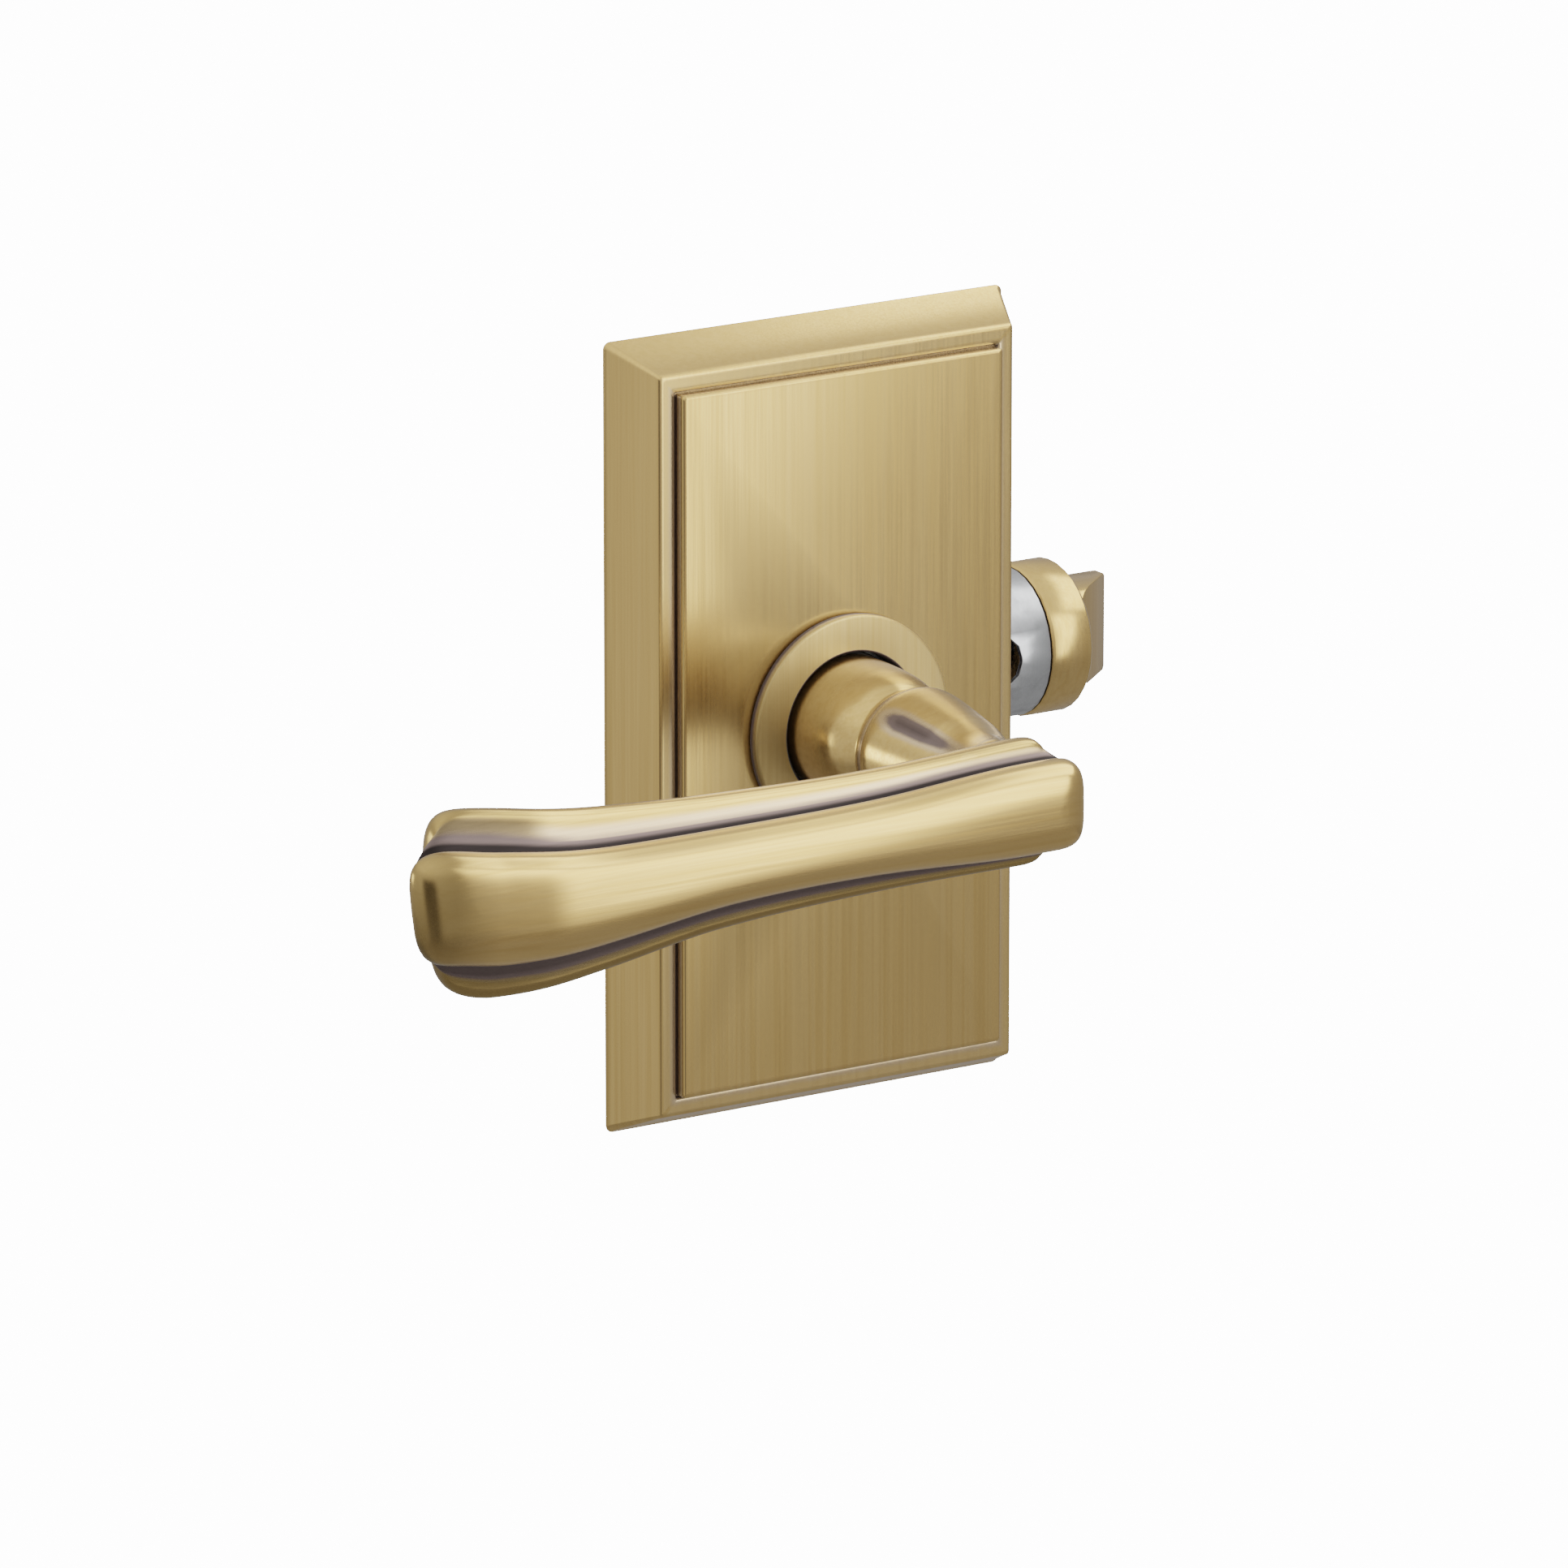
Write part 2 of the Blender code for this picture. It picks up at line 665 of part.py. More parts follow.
def lever_handle(group):
    """Lever casting with a square socket for the spindle and a threaded hole for the set screw."""
    lever = lever_neck("lever_handle", group, 32, "antique_brass")
    join(lever, lever_grip("grip_body", group, 14, 4, 4))
    through = (JOURNAL_END - 1.0, SOCKET_DEPTH)
    cut(lever, slab("lever_socket", SOCKET_HALF, SOCKET_HALF, 0.4, *through, along_y(), None, group, 2))
    place = along_z((0.0, -SET_SCREW_DEPTH, 0.0))
    cut(lever, rod("set_screw_hole", SET_SCREW_RADIUS + GAP, -14.0, -2.0, place, None, group, 20))
    for side in (-1, 1):
        low = (side * JOURNAL_FLAT, -1.6, -10.0)
        high = (side * (JOURNAL_FLAT + 4.0), FAR, 10.0)
        cut(lever, box(f"journal_flat_{side}", low, high, None, group))
    return lever


def lever_set_screw(group):
    """Grub screw that clamps the lever on the spindle from below."""
    place = along_z((0.0, -SET_SCREW_DEPTH, 0.0))
    tip = -SPINDLE_HALF - 0.35
    profile = (
        (0, SET_SCREW_HEAD),
        (SET_SCREW_RADIUS - 0.3, SET_SCREW_HEAD),
        (SET_SCREW_RADIUS, SET_SCREW_HEAD + 0.3),
        (SET_SCREW_RADIUS, tip - 0.6),
        (SET_SCREW_RADIUS - 0.6, tip),
        (0, tip),
    )
    screw = turned("lever_set_screw", profile, place, "dark_steel", group, 20)
    through = (SET_SCREW_HEAD - 1.0, SET_SCREW_HEAD + 2.6)
    return cut(screw, rod("set_screw_hexagon", 1.45, *through, place, None, group, 6))


def spindle(group):
    """Square bar with chamfered ends, from the lever's socket through the latch."""
    sections = (
        (-SPINDLE_END, SPINDLE_HALF - SPINDLE_CHAMFER),
        (-SPINDLE_END + SPINDLE_CHAMFER, SPINDLE_HALF),
        (SPINDLE_NEAR - SPINDLE_CHAMFER, SPINDLE_HALF),
        (SPINDLE_NEAR, SPINDLE_HALF - SPINDLE_CHAMFER),
    )
    rings = []
    for height, half in sections:
        rings.append([along_y()(u, v, height) for u, v in rounded_rectangle(half, half, 0.3, 1)])
    return skin("spindle", rings, "zinc_steel", group)


def spring_driver(group):
    """Disc keyed on the journal's flats, with a hole that holds the spring's rear leg."""
    bore = JOURNAL_RADIUS + GAP
    faces = (-DRIVER_HALF, DRIVER_HALF)
    disc = tube("spring_driver", DRIVER_RADIUS, bore, *faces, along_y(), "zinc_steel", group)
    for side in (-1, 1):
        low = (side * (JOURNAL_FLAT + GAP), -DRIVER_HALF, -6.0)
        high = (side * 11.0, DRIVER_HALF, 6.0)
        join(disc, box(f"driver_key_{side}", low, high, None, group))
    place = along_y((COIL_RADIUS, 0.0, 0.0))
    return cut(disc, rod("driver_leg_hole", COIL_WIRE + GAP, -FAR, FAR, place, None, group, 16))


def thrust_washer(group):
    """Thin ring between the driver and the retaining ring."""
    bore = JOURNAL_RADIUS + GAP
    place = along_y()
    return tube("thrust_washer", WASHER_RADIUS, bore, WASHER_BACK, WASHER_FRONT, place, "spring_steel", group)


def retaining_ring(group):
    """Open ring that snaps in the journal's groove."""
    bore = RING_GROOVE_RADIUS + GAP
    ring = tube("retaining_ring", RING_RADIUS, bore, RING_BACK, RING_FRONT, along_y(), "spring_steel", group)
    half_opening = 2.2
    opening = box("ring_opening", (-half_opening, 1.0, 0.0), (half_opening, FAR, 14.0), None, group)
    return cut(ring, opening)


# ---------------------------------------------------------------- mounting plate and spring cassette


def mounting_plate(group):
    """Steel plate that lies on the door, with a large hole for the cassette and holes for its fasteners."""
    outline = rounded_rectangle(PLATE_HALF_WIDTH, PLATE_HALF_HEIGHT, PLATE_CORNER)
    faces = [[along_y()(u, v, height) for u, v in outline] for height in (0.0, PLATE_THICKNESS)]
    plate = skin("mounting_plate", faces, "zinc_steel", group)
    through = (-1.0, PLATE_THICKNESS + 1.0)
    cut(plate, rod("plate_bore", CAGE_OUTER + GAP, *through, along_y(), None, group))
    for sign in (-1, 1):
        post_place = along_y((0.0, 0.0, sign * POST_HEIGHT))
        ear_place = along_y((sign * CAGE_EAR_X, 0.0, 0.0))
        cut(plate, rod(f"plate_post_hole_{sign}", POST_RADIUS + GAP, *through, post_place, None, group, 24))
        cut(plate, rod(f"plate_ear_hole_{sign}", 1.6, *through, ear_place, None, group, 16))
    countersink = ((0, -0.5), (3.45, -0.5), (1.6, 1.45), (1.6, 3.0), (0, 3.0))
    for index, (x, z) in enumerate(screw_places()):
        cut(plate, turned(f"plate_countersink_{index}", countersink, along_y((x, 0.0, z)), None, group, 20))
    return plate


def mounting_post(name, sign, group):
    """Threaded post, staked in the plate, that takes a through bolt of the other trim."""
    place = along_y((0.0, 0.0, sign * POST_HEIGHT))
    head = PLATE_THICKNESS + GAP
    profile = (
        (0, head + 1.3),
        (POST_HEAD - 0.4, head + 1.3),
        (POST_HEAD, head + 0.9),
        (POST_HEAD, head),
        (POST_RADIUS, head),
        (POST_RADIUS, 0.4 - POST_END),
        (POST_RADIUS - 0.4, -POST_END),
        (POST_BORE, -POST_END),
        (POST_BORE, POST_BORE_END),
        (0, POST_BORE_END + 1.0),
    )
    return turned(name, profile, place, "zinc_steel", group, 24)


def spring_cage(group):
    """Cup around the return spring, with an ear at each side and a slot for the spring's fixed leg."""
    profile = (
        (CAGE_OPENING, CAGE_FRONT),
        (CAGE_OUTER - 0.8, CAGE_FRONT),
        (CAGE_OUTER, CAGE_FRONT - 0.8),
        (CAGE_OUTER, CAGE_REAR),
        (CAGE_INNER, CAGE_REAR),
        (CAGE_INNER, CAGE_FRONT - CAGE_WALL),
        (CAGE_OPENING, CAGE_FRONT - CAGE_WALL),
    )
    cage = turned("spring_cage", profile, along_y(), "zinc_steel", group)
    ear_back = PLATE_THICKNESS + GAP
    for sign in (-1, 1):
        low = (sign * (CAGE_OUTER - 0.6), -ear_back - CAGE_EAR_THICKNESS, -CAGE_EAR_HALF)
        high = (sign * (CAGE_EAR_X + 4.5), -ear_back, CAGE_EAR_HALF)
        join(cage, box(f"cage_ear_{sign}", low, high, None, group))
        place = along_y((sign * CAGE_EAR_X, 0.0, 0.0))
        cut(cage, rod(f"cage_ear_hole_{sign}", EAR_SCREW_SHAFT + 0.4, 0.0, 6.0, place, None, group, 16))
    leg_room = 1.2
    front_end = CAGE_FRONT - CAGE_WALL - 0.2
    slot_low, slot_high = (-leg_room, -front_end, 14.8), (leg_room, -5.4, 20.0)
    return cut(cage, box("cage_leg_slot", slot_low, slot_high, None, group))


def cage_cover(group):
    """Ring that closes the cup's back."""
    profile = (
        (COVER_LIP, CAGE_REAR + 1.4),
        (CAGE_INNER - GAP, CAGE_REAR + 1.4),
        (CAGE_INNER - GAP, CAGE_REAR - GAP),
        (CAGE_OUTER, CAGE_REAR - GAP),
        (CAGE_OUTER, CAGE_REAR - GAP - 0.7),
        (CAGE_OUTER - 0.4, CAGE_REAR - GAP - 1.1),
        (COVER_INNER, CAGE_REAR - GAP - 1.1),
        (COVER_INNER, CAGE_REAR - GAP),
        (COVER_LIP, CAGE_REAR - GAP),
    )
    return turned("cage_cover", profile, along_y(), "zinc_steel", group)


def cage_screw(name, sign, group):
    """Pan head screw through an ear of the cassette into the plate."""
    x = sign * CAGE_EAR_X
    tip = 0.4
    base = PLATE_THICKNESS + 2 * GAP + CAGE_EAR_THICKNESS
    profile = (
        (0, tip),
        (EAR_SCREW_SHAFT, tip),
        (EAR_SCREW_SHAFT, base),
        (EAR_SCREW_HEAD, base),
        (EAR_SCREW_HEAD, base + 0.9),
        (EAR_SCREW_HEAD - 0.6, base + 1.5),
        (0, base + 1.5),
    )
    screw = turned(name, profile, along_y((x, 0.0, 0.0)), "zinc_steel", group, 20)
    low = (x - 3.0, -base - 3.0, -RECESS_HALF_WIDTH)
    high = (x + 3.0, -base - 0.7, RECESS_HALF_WIDTH)
    return cut(screw, box(f"{name}_slot", low, high, None, group))


def lever_bushing(group):
    """Flanged nylon bearing in the cup's front wall."""
    bore = JOURNAL_RADIUS + 0.1
    profile = (
        (bore, BUSHING_BACK),
        (BUSHING_RADIUS, BUSHING_BACK),
        (BUSHING_RADIUS, CAGE_FRONT + GAP),
        (BUSHING_FLANGE, CAGE_FRONT + GAP),
        (BUSHING_FLANGE, BUSHING_FRONT - 0.2),
        (BUSHING_FLANGE - 0.2, BUSHING_FRONT),
        (bore, BUSHING_FRONT),
    )
    return turned("lever_bushing", profile, along_y(), "white_nylon", group)


def return_spring(group):
    """Torsion spring around the journal: one leg in the driver, one in the cup's slot."""
    path = [(COIL_RADIUS, 0.6, 0.0), (COIL_RADIUS, -COIL_START + 0.5, 0.0)]
    for step in range(1, int(COIL_TURNS * COIL_STEPS) + 1):
        angle = math.tau * step / COIL_STEPS
        depth = COIL_START + COIL_PITCH * step / COIL_STEPS
        path.append((COIL_RADIUS * math.cos(angle), -depth, -COIL_RADIUS * math.sin(angle)))
    x, y, z = path[-1]
    for reach in (1.06, CAGE_OUTER / COIL_RADIUS):
        path.append((x * reach, y, z * reach))
    return wire("return_spring", path, COIL_WIRE, "spring_steel", group)


# ---------------------------------------------------------------- latch


def latch_case(name, side, group):
    """One half of the stamped case, a tray with walls at the top, the bottom and the tube's end."""
    outer_low, outer_high = sorted((side * CASE_HALF, side * GAP / 2))
    inner_low, inner_high = sorted((side * (CASE_HALF - CASE_WALL), -side))
    low = (CASE_REAR, LATCH_Y + outer_low, CASE_BOTTOM)
    high = (CASE_FRONT, LATCH_Y + outer_high, CASE_TOP)
    tray = box(name, low, high, "zinc_steel", group)
    low = (CASE_REAR - FAR, LATCH_Y + inner_low, CASE_BOTTOM + CASE_WALL)
    high = (CASE_FRONT - CASE_WALL, LATCH_Y + inner_high, CASE_TOP - CASE_WALL)
    cut(tray, box(f"{name}_hollow", low, high, None, group))
    through = (-CASE_HALF - 2.0, CASE_HALF + 2.0)
    place = along_x((CASE_FRONT, LATCH_Y, 0.0))
    cut(tray, rod(f"{name}_tube_hole", TUBE_BORE, -4.0, 2.0, place, None, group))
    place = along_y((0.0, LATCH_Y, 0.0))
    cut(tray, rod(f"{name}_hub_hole", HUB_JOURNAL + GAP, *through, place, None, group))
    for index, (x, z) in enumerate(rivet_places()):
        place = along_y((x, LATCH_Y, z))
        cut(tray, rod(f"{name}_rivet_hole_{index}", RIVET_HOLE, *through, place, None, group, 16))
    return tray


def rivet_places():
    """Centres of the case rivets, outside the space that the slide sweeps."""
    return [(13.4, 14.4), (-12.0, -12.3), (12.4, -12.3)]


def case_rivets(group):
    """Rivets with a domed head on both faces of the case."""
    base = CASE_HALF + GAP
    dome = base + RIVET_DOME
    half = ((RIVET_RADIUS, base), (RIVET_HEAD, base), (RIVET_HEAD - RIVET_DOME, dome), (0, dome))
    profile = [(radius, -height) for radius, height in reversed(half)] + list(half)
    for index, (x, z) in enumerate(rivet_places(), 1):
        turned(f"case_rivet_{index}", profile, along_y((x, LATCH_Y, z)), "bright_steel", group, 12)


def latch_tube(group):
    """Tube that carries the bolt, with a long window at each side."""
    start, end = CASE_FRONT + GAP, FACE_START - GAP
    place = along_x((0.0, LATCH_Y, 0.0))
    shell = tube("latch_tube", TUBE_RADIUS, TUBE_BORE, start, end, place, "zinc_steel", group)
    place = along_y((WINDOW_MIDDLE, LATCH_Y, 0.0))
    through = (-20.0, 20.0)
    window = slab("tube_window", WINDOW_HALF_LENGTH, WINDOW_HALF_HEIGHT, 4.0, *through, place, None, group)
    return cut(shell, window)


def latch_face(group):
    """Round drive-in face with the bolt's opening."""
    radius = EDGE_BORE / 2
    profile = (
        (TUBE_BORE, FACE_START),
        (radius - 0.3, FACE_START),
        (radius, FACE_START + 0.5),
        (radius, BACKSET - 0.6),
        (radius - 0.6, BACKSET),
        (0, BACKSET),
        (0, BACKSET - FACE_WALL),
        (TUBE_BORE, BACKSET - FACE_WALL),
    )
    place = along_x((0.0, LATCH_Y, 0.0))
    face = turned("latch_face", profile, place, "antique_brass", group)
    half_y, half_z = BOLT_HALF_Y + BOLT_CLEARANCE, BOLT_HALF_Z + BOLT_CLEARANCE
    radius = BOLT_CORNER + 0.2
    opening = slab("face_opening", half_y, half_z, radius, BACKSET - FAR, BACKSET + FAR, place, None, group)
    return cut(face, opening)


def latch_hub(group):
    """Follower on the spindle: journals in the case, and one arm that moves the slide."""
    place = along_y((0.0, LATCH_Y, 0.0))
    barrel = CASE_HALF - CASE_WALL - GAP
    half = ((HUB_RADIUS, barrel), (HUB_JOURNAL, barrel), (HUB_JOURNAL, CASE_HALF), (0, CASE_HALF))
    profile = [(radius, -height) for radius, height in reversed(half)] + list(half)
    hub = turned("latch_hub", profile, place, "dark_steel", group)
    arm_root = 4.0
    arm_place = along_y((0.0, LATCH_Y, (ARM_LENGTH + arm_root) / 2))
    half_arm = (ARM_LENGTH - arm_root) / 2
    arm = slab("hub_arm", ARM_HALF, half_arm, 0.6, -ARM_HALF, ARM_HALF, arm_place, None, group)
    socket = slab("hub_socket", SOCKET_HALF, SOCKET_HALF, 0.4, -12.0, 12.0, place, None, group, 2)
    join(hub, arm)
    return cut(hub, socket)


def latch_retractor(group):
    """Slide around the hub: a fork that the arm moves, two rails, and a nose that hooks the bolt's tail."""
    outline = (
        (SLIDE_REAR, -RAIL_HIGH),
        (NOSE_FRONT, -RAIL_HIGH),
        (NOSE_FRONT, RAIL_HIGH),
        (FORK_FRONT, RAIL_HIGH),
        (FORK_FRONT, FORK_TOP),
        (FORK_REAR, FORK_TOP),
        (FORK_REAR, RAIL_HIGH),
        (SLIDE_REAR, RAIL_HIGH),
    )
    sides = [[(x, LATCH_Y + y, z) for x, z in outline] for y in (-SLIDE_HALF, SLIDE_HALF)]
    slide = skin("latch_retractor", sides, "dark_steel", group)

    def block(name, half_y, x0, x1, z0, z1):
        return box(name, (x0, LATCH_Y - half_y, z0), (x1, LATCH_Y + half_y, z1), None, group)

    slot = ARM_HALF + 0.4
    slot_low = RAIL_LOW - 1.0
    lug_rear = 3.7
    lug_low = 13.0
    relief_reach = 4.6
    window_rear = SLIDE_REAR + SLIDE_REAR_WALL
    cut(slide, block("slide_window", SLIDE_HALF + FAR, window_rear, NOSE_REAR, -RAIL_LOW, RAIL_LOW))
    cut(slide, block("fork_pocket", slot, -ARM_HALF - 0.7, lug_rear, slot_low, FORK_TOP + 2.0))
    cut(slide, block("fork_relief", slot, lug_rear - 0.5, lug_rear + relief_reach, slot_low, lug_low))
    place = along_x((0.0, LATCH_Y, 0.0))
    through = (NOSE_REAR - 3.0, NOSE_FRONT + 3.0)
    return cut(slide, rod("nose_hole", TAIL_RADIUS + 0.4, *through, place, None, group, 24))


def bolt_tail(group):
    """Headed rod that links the bolt to the slide's nose."""
    head_rear = NOSE_REAR - GAP - 2.0
    profile = (
        (0, head_rear),
        (TAIL_HEAD - 0.4, head_rear),
        (TAIL_HEAD, head_rear + 0.4),
        (TAIL_HEAD, NOSE_REAR - GAP),
        (TAIL_RADIUS, NOSE_REAR - GAP),
        (TAIL_RADIUS, TAIL_END),
        (0, TAIL_END),
    )
    return turned("bolt_tail", profile, along_x((0.0, LATCH_Y, 0.0)), "bright_steel", group, 24)


def latch_bolt(group):
    """Slanted bolt with round edges and a deep spring pocket at its rear."""
    tip = BACKSET + THROW
    place = along_x((0.0, LATCH_Y, 0.0))
    stations = (
        (BOLT_REAR, BOLT_EDGE),
        (BOLT_REAR + BOLT_EDGE, 0.0),
        (tip - BOLT_EDGE, 0.0),
        (tip, BOLT_EDGE),
    )
    rings = []
    for height, inset in stations:
        outline = rounded_rectangle(BOLT_HALF_Y - inset, BOLT_HALF_Z - inset, BOLT_CORNER)
        rings.append([place(u, v, height) for u, v in outline])
    bolt = skin("latch_bolt", rings, "antique_brass", group)
    slant_x = BACKSET + SLANT_START
    outside_y = -BOLT_HALF_Y - FAR
    slant = (
        (slant_x, -BOLT_HALF_Y - 0.5),
        (tip + 1.0, SLANT_FLAT),
        (tip + 1.0, outside_y),
        (slant_x, outside_y),
    )
    wedge = skin("bolt_slant", [[(x, LATCH_Y + y, z) for x, y in slant] for z in (-12.0, 12.0)], None, group)
    pocket = rod("bolt_pocket", POCKET_RADIUS, BOLT_REAR - 2.0, POCKET_END, place, None, group, 32)
    socket = rod("bolt_socket", TAIL_RADIUS + GAP, POCKET_END - 1.0, TAIL_END + 0.6, place, None, group, 24)
    return cut(bolt, wedge, pocket, socket)


def bolt_spring(group):
    """Compression spring between the slide's nose and the bottom of the bolt's pocket."""
    start = NOSE_FRONT + GAP + BOLT_SPRING_WIRE
    end = POCKET_END - GAP - BOLT_SPRING_WIRE
    total = int(BOLT_SPRING_TURNS * BOLT_SPRING_STEPS)
    path = []
    for step in range(total + 1):
        angle = math.tau * step / BOLT_SPRING_STEPS
        x = start + (end - start) * step / total
        y = LATCH_Y + BOLT_SPRING_RADIUS * math.cos(angle)
        z = BOLT_SPRING_RADIUS * math.sin(angle)
        path.append((x, y, z))
    return wire("bolt_spring", path, BOLT_SPRING_WIRE, "spring_steel", group, 5)


# ---------------------------------------------------------------- assembly


def build():
    clear_scene()
    fixed = empty("fixed_trim", (0.0, 0.0, 0.0))
    lever = empty("lever_axis", (0.0, 0.0, 0.0))
    slide = empty("slide_axis", (0.0, LATCH_Y, 0.0))
    bolt = empty("bolt_axis", (0.0, LATCH_Y, 0.0))
    bpy.context.view_layer.update()

    rose_plate(fixed)
    rose_collar(fixed)
    rose_screws(fixed)
    mounting_plate(fixed)
    mounting_post("post_upper", 1, fixed)
    mounting_post("post_lower", -1, fixed)
    spring_cage(fixed)
    cage_cover(fixed)
    cage_screw("cage_screw_left", -1, fixed)
    cage_screw("cage_screw_right", 1, fixed)
    lever_bushing(fixed)
    return_spring(fixed)
    latch_case("case_front", -1, fixed)
    latch_case("case_back", 1, fixed)
    case_rivets(fixed)
    latch_tube(fixed)
    latch_face(fixed)

    lever_handle(lever)
    lever_set_screw(lever)
    spindle(lever)
    spring_driver(lever)
    thrust_washer(lever)
    retaining_ring(lever)
    latch_hub(lever)

    latch_retractor(slide)
    bolt_spring(slide)

    latch_bolt(bolt)
    bolt_tail(bolt)


build()
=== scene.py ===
"""Looks of the lever handle lockset: fine meshes, brushed antique brass, and a plain studio."""

import json
import math

import bmesh
import bpy
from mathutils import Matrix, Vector


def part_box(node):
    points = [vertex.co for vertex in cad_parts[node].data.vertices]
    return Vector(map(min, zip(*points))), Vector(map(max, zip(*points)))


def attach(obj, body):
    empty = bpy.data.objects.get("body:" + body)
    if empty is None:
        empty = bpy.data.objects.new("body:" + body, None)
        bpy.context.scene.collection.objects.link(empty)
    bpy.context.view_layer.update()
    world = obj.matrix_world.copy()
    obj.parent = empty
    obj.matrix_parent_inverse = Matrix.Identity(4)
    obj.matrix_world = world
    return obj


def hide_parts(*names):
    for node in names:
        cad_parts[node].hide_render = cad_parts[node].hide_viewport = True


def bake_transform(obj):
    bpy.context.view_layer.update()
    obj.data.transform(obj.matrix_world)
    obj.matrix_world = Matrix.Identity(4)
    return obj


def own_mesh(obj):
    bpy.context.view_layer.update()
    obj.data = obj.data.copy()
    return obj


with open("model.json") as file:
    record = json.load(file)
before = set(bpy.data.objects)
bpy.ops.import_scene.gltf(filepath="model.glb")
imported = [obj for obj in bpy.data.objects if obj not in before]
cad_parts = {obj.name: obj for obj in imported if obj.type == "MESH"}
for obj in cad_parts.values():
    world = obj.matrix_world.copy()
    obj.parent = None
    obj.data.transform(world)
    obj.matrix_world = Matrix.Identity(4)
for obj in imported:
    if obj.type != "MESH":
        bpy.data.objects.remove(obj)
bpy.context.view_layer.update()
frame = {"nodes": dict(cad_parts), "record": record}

MM = 0.001
WELD = 1e-4
LEAST_CAP = 1e-3
ROOT = "trim_and_latch_case"

# Edges that turn by more than these degrees stay sharp.
SHARP = 34.0
LEVER_SHARP = 40.0
EASED_SHARP = 38.0
WIRE_SHARP = 60.0

# Shapes are laid out in millimetres from the point where the spindle's axis crosses the door's outer face.
LAYOUT = Vector((0.0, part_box("rose_plate")[1].y / MM, 0.0))


def corners(node):
    """Lowest and highest corner of a CAD node, in the layout's millimetres."""
    low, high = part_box(node)
    return low / MM - LAYOUT, high / MM - LAYOUT


# ---------------------------------------------------------------- mesh helpers


def finish_mesh(name, bm, sharp=SHARP):
    """Turns a bmesh laid out in millimetres into an object, shaded smooth except at sharp edges."""
    bmesh.ops.remove_doubles(bm, verts=bm.verts, dist=WELD)
    loose = [edge for edge in bm.edges if not edge.link_faces]
    bmesh.ops.delete(bm, geom=loose, context="EDGES")
    bmesh.ops.recalc_face_normals(bm, faces=bm.faces)
    bmesh.ops.translate(bm, vec=LAYOUT, verts=bm.verts)
    bmesh.ops.scale(bm, vec=(MM, MM, MM), verts=bm.verts)
    mesh = bpy.data.meshes.new(name)
    bm.to_mesh(mesh)
    bm.free()
    mesh.shade_smooth()
    mesh.set_sharp_from_angle(angle=math.radians(sharp))
    obj = bpy.data.objects.new(name, mesh)
    bpy.context.scene.collection.objects.link(obj)
    return obj


def area(loop):
    """Area that a ring encloses: zero once it has collapsed to a line or a point."""
    centre = sum((v.co for v in loop), Vector()) / len(loop)
    spokes = [v.co - centre for v in loop]
    total = sum((a.cross(b) for a, b in zip(spokes, spokes[1:] + spokes[:1])), Vector())
    return total.length / 2


def skin(name, rings, sharp=SHARP):
    """Closed solid through a stack of rings with equal point counts."""
    bm = bmesh.new()
    loops = [[bm.verts.new(point) for point in ring] for ring in rings]
    count = len(loops[0])
    for low, high in zip(loops, loops[1:]):
        for i in range(count):
            j = (i + 1) % count
            bm.faces.new((low[i], low[j], high[j], high[i]))
    for loop in (loops[0], loops[-1]):
        if area(loop) > LEAST_CAP:
            bm.faces.new(loop)
    return finish_mesh(name, bm, sharp)


def along_y(centre=(0.0, 0.0, 0.0)):
    """Places outlines in X and Z. Their height counts outwards from the door, against Y."""
    return lambda u, v, h: (centre[0] + u, centre[1] - h, centre[2] + v)


def along_z(centre):
    """Places outlines in X and Y, with their height upwards."""
    return lambda u, v, h: (centre[0] + u, centre[1] + v, centre[2] + h)


CORNER_SHARE = 0.42
STRAIGHT_ENOUGH = math.radians(168)


def softened(profile, radius, steps=3):
    """Closed outline with each corner rounded, as far as its neighbours leave room."""
    count = len(profile)
    result = []
    for i, (a, h) in enumerate(profile):
        corner = Vector((a, h))
        before, after = Vector(profile[i - 1]), Vector(profile[(i + 1) % count])
        towards, away = before - corner, after - corner
        on_axis = a < 1e-6
        room = min(towards.length, away.length) * CORNER_SHARE
        if on_axis or room < 1e-3 or towards.angle(away) > STRAIGHT_ENOUGH:
            result.append((a, h))
            continue
        reach = min(radius, room)
        start = corner + towards.normalized() * reach
        end = corner + away.normalized() * reach
        for step in range(steps + 1):
            t = step / steps
            point = start * (1 - t) ** 2 + corner * 2 * t * (1 - t) + end * t * t
            result.append((max(point.x, 0.0), point.y))
    return result


def turned(name, profile, place, segments=96, soft=0.25):
    """Solid of revolution from a closed outline of (radius, height) points, its edges softened."""
    outline = softened(profile, soft) if soft else profile
    bm = bmesh.new()
    verts = [bm.verts.new(place(radius, 0.0, height)) for radius, height in outline]
    edges = [bm.edges.new(pair) for pair in zip(verts, verts[1:] + verts[:1])]
    origin = Vector(place(0.0, 0.0, 0.0))
    axis = (Vector(place(0.0, 0.0, 1.0)) - origin).normalized()
    bmesh.ops.spin(
        bm, geom=verts + edges, cent=origin, axis=axis, angle=math.tau, steps=segments, use_merge=True
    )
    return finish_mesh(name, bm)


def rod(name, radius, start, end, place, segments):
    """Plain cylinder between two heights."""
    return turned(name, ((0, start), (radius, start), (radius, end), (0, end)), place, segments, 0)


def rounded_rectangle(half_u, half_v, radius, steps=8):
    """Points round a rectangle with arcs at its corners."""
    points = []
    for corner, (side_u, side_v) in enumerate(((1, 1), (-1, 1), (-1, -1), (1, -1))):
        for step in range(steps + 1):
            angle = math.radians(90) * (corner + step / steps)
            u = side_u * (half_u - radius) + radius * math.cos(angle)
            v = side_v * (half_v - radius) + radius * math.sin(angle)
            points.append((u, v))
    return points


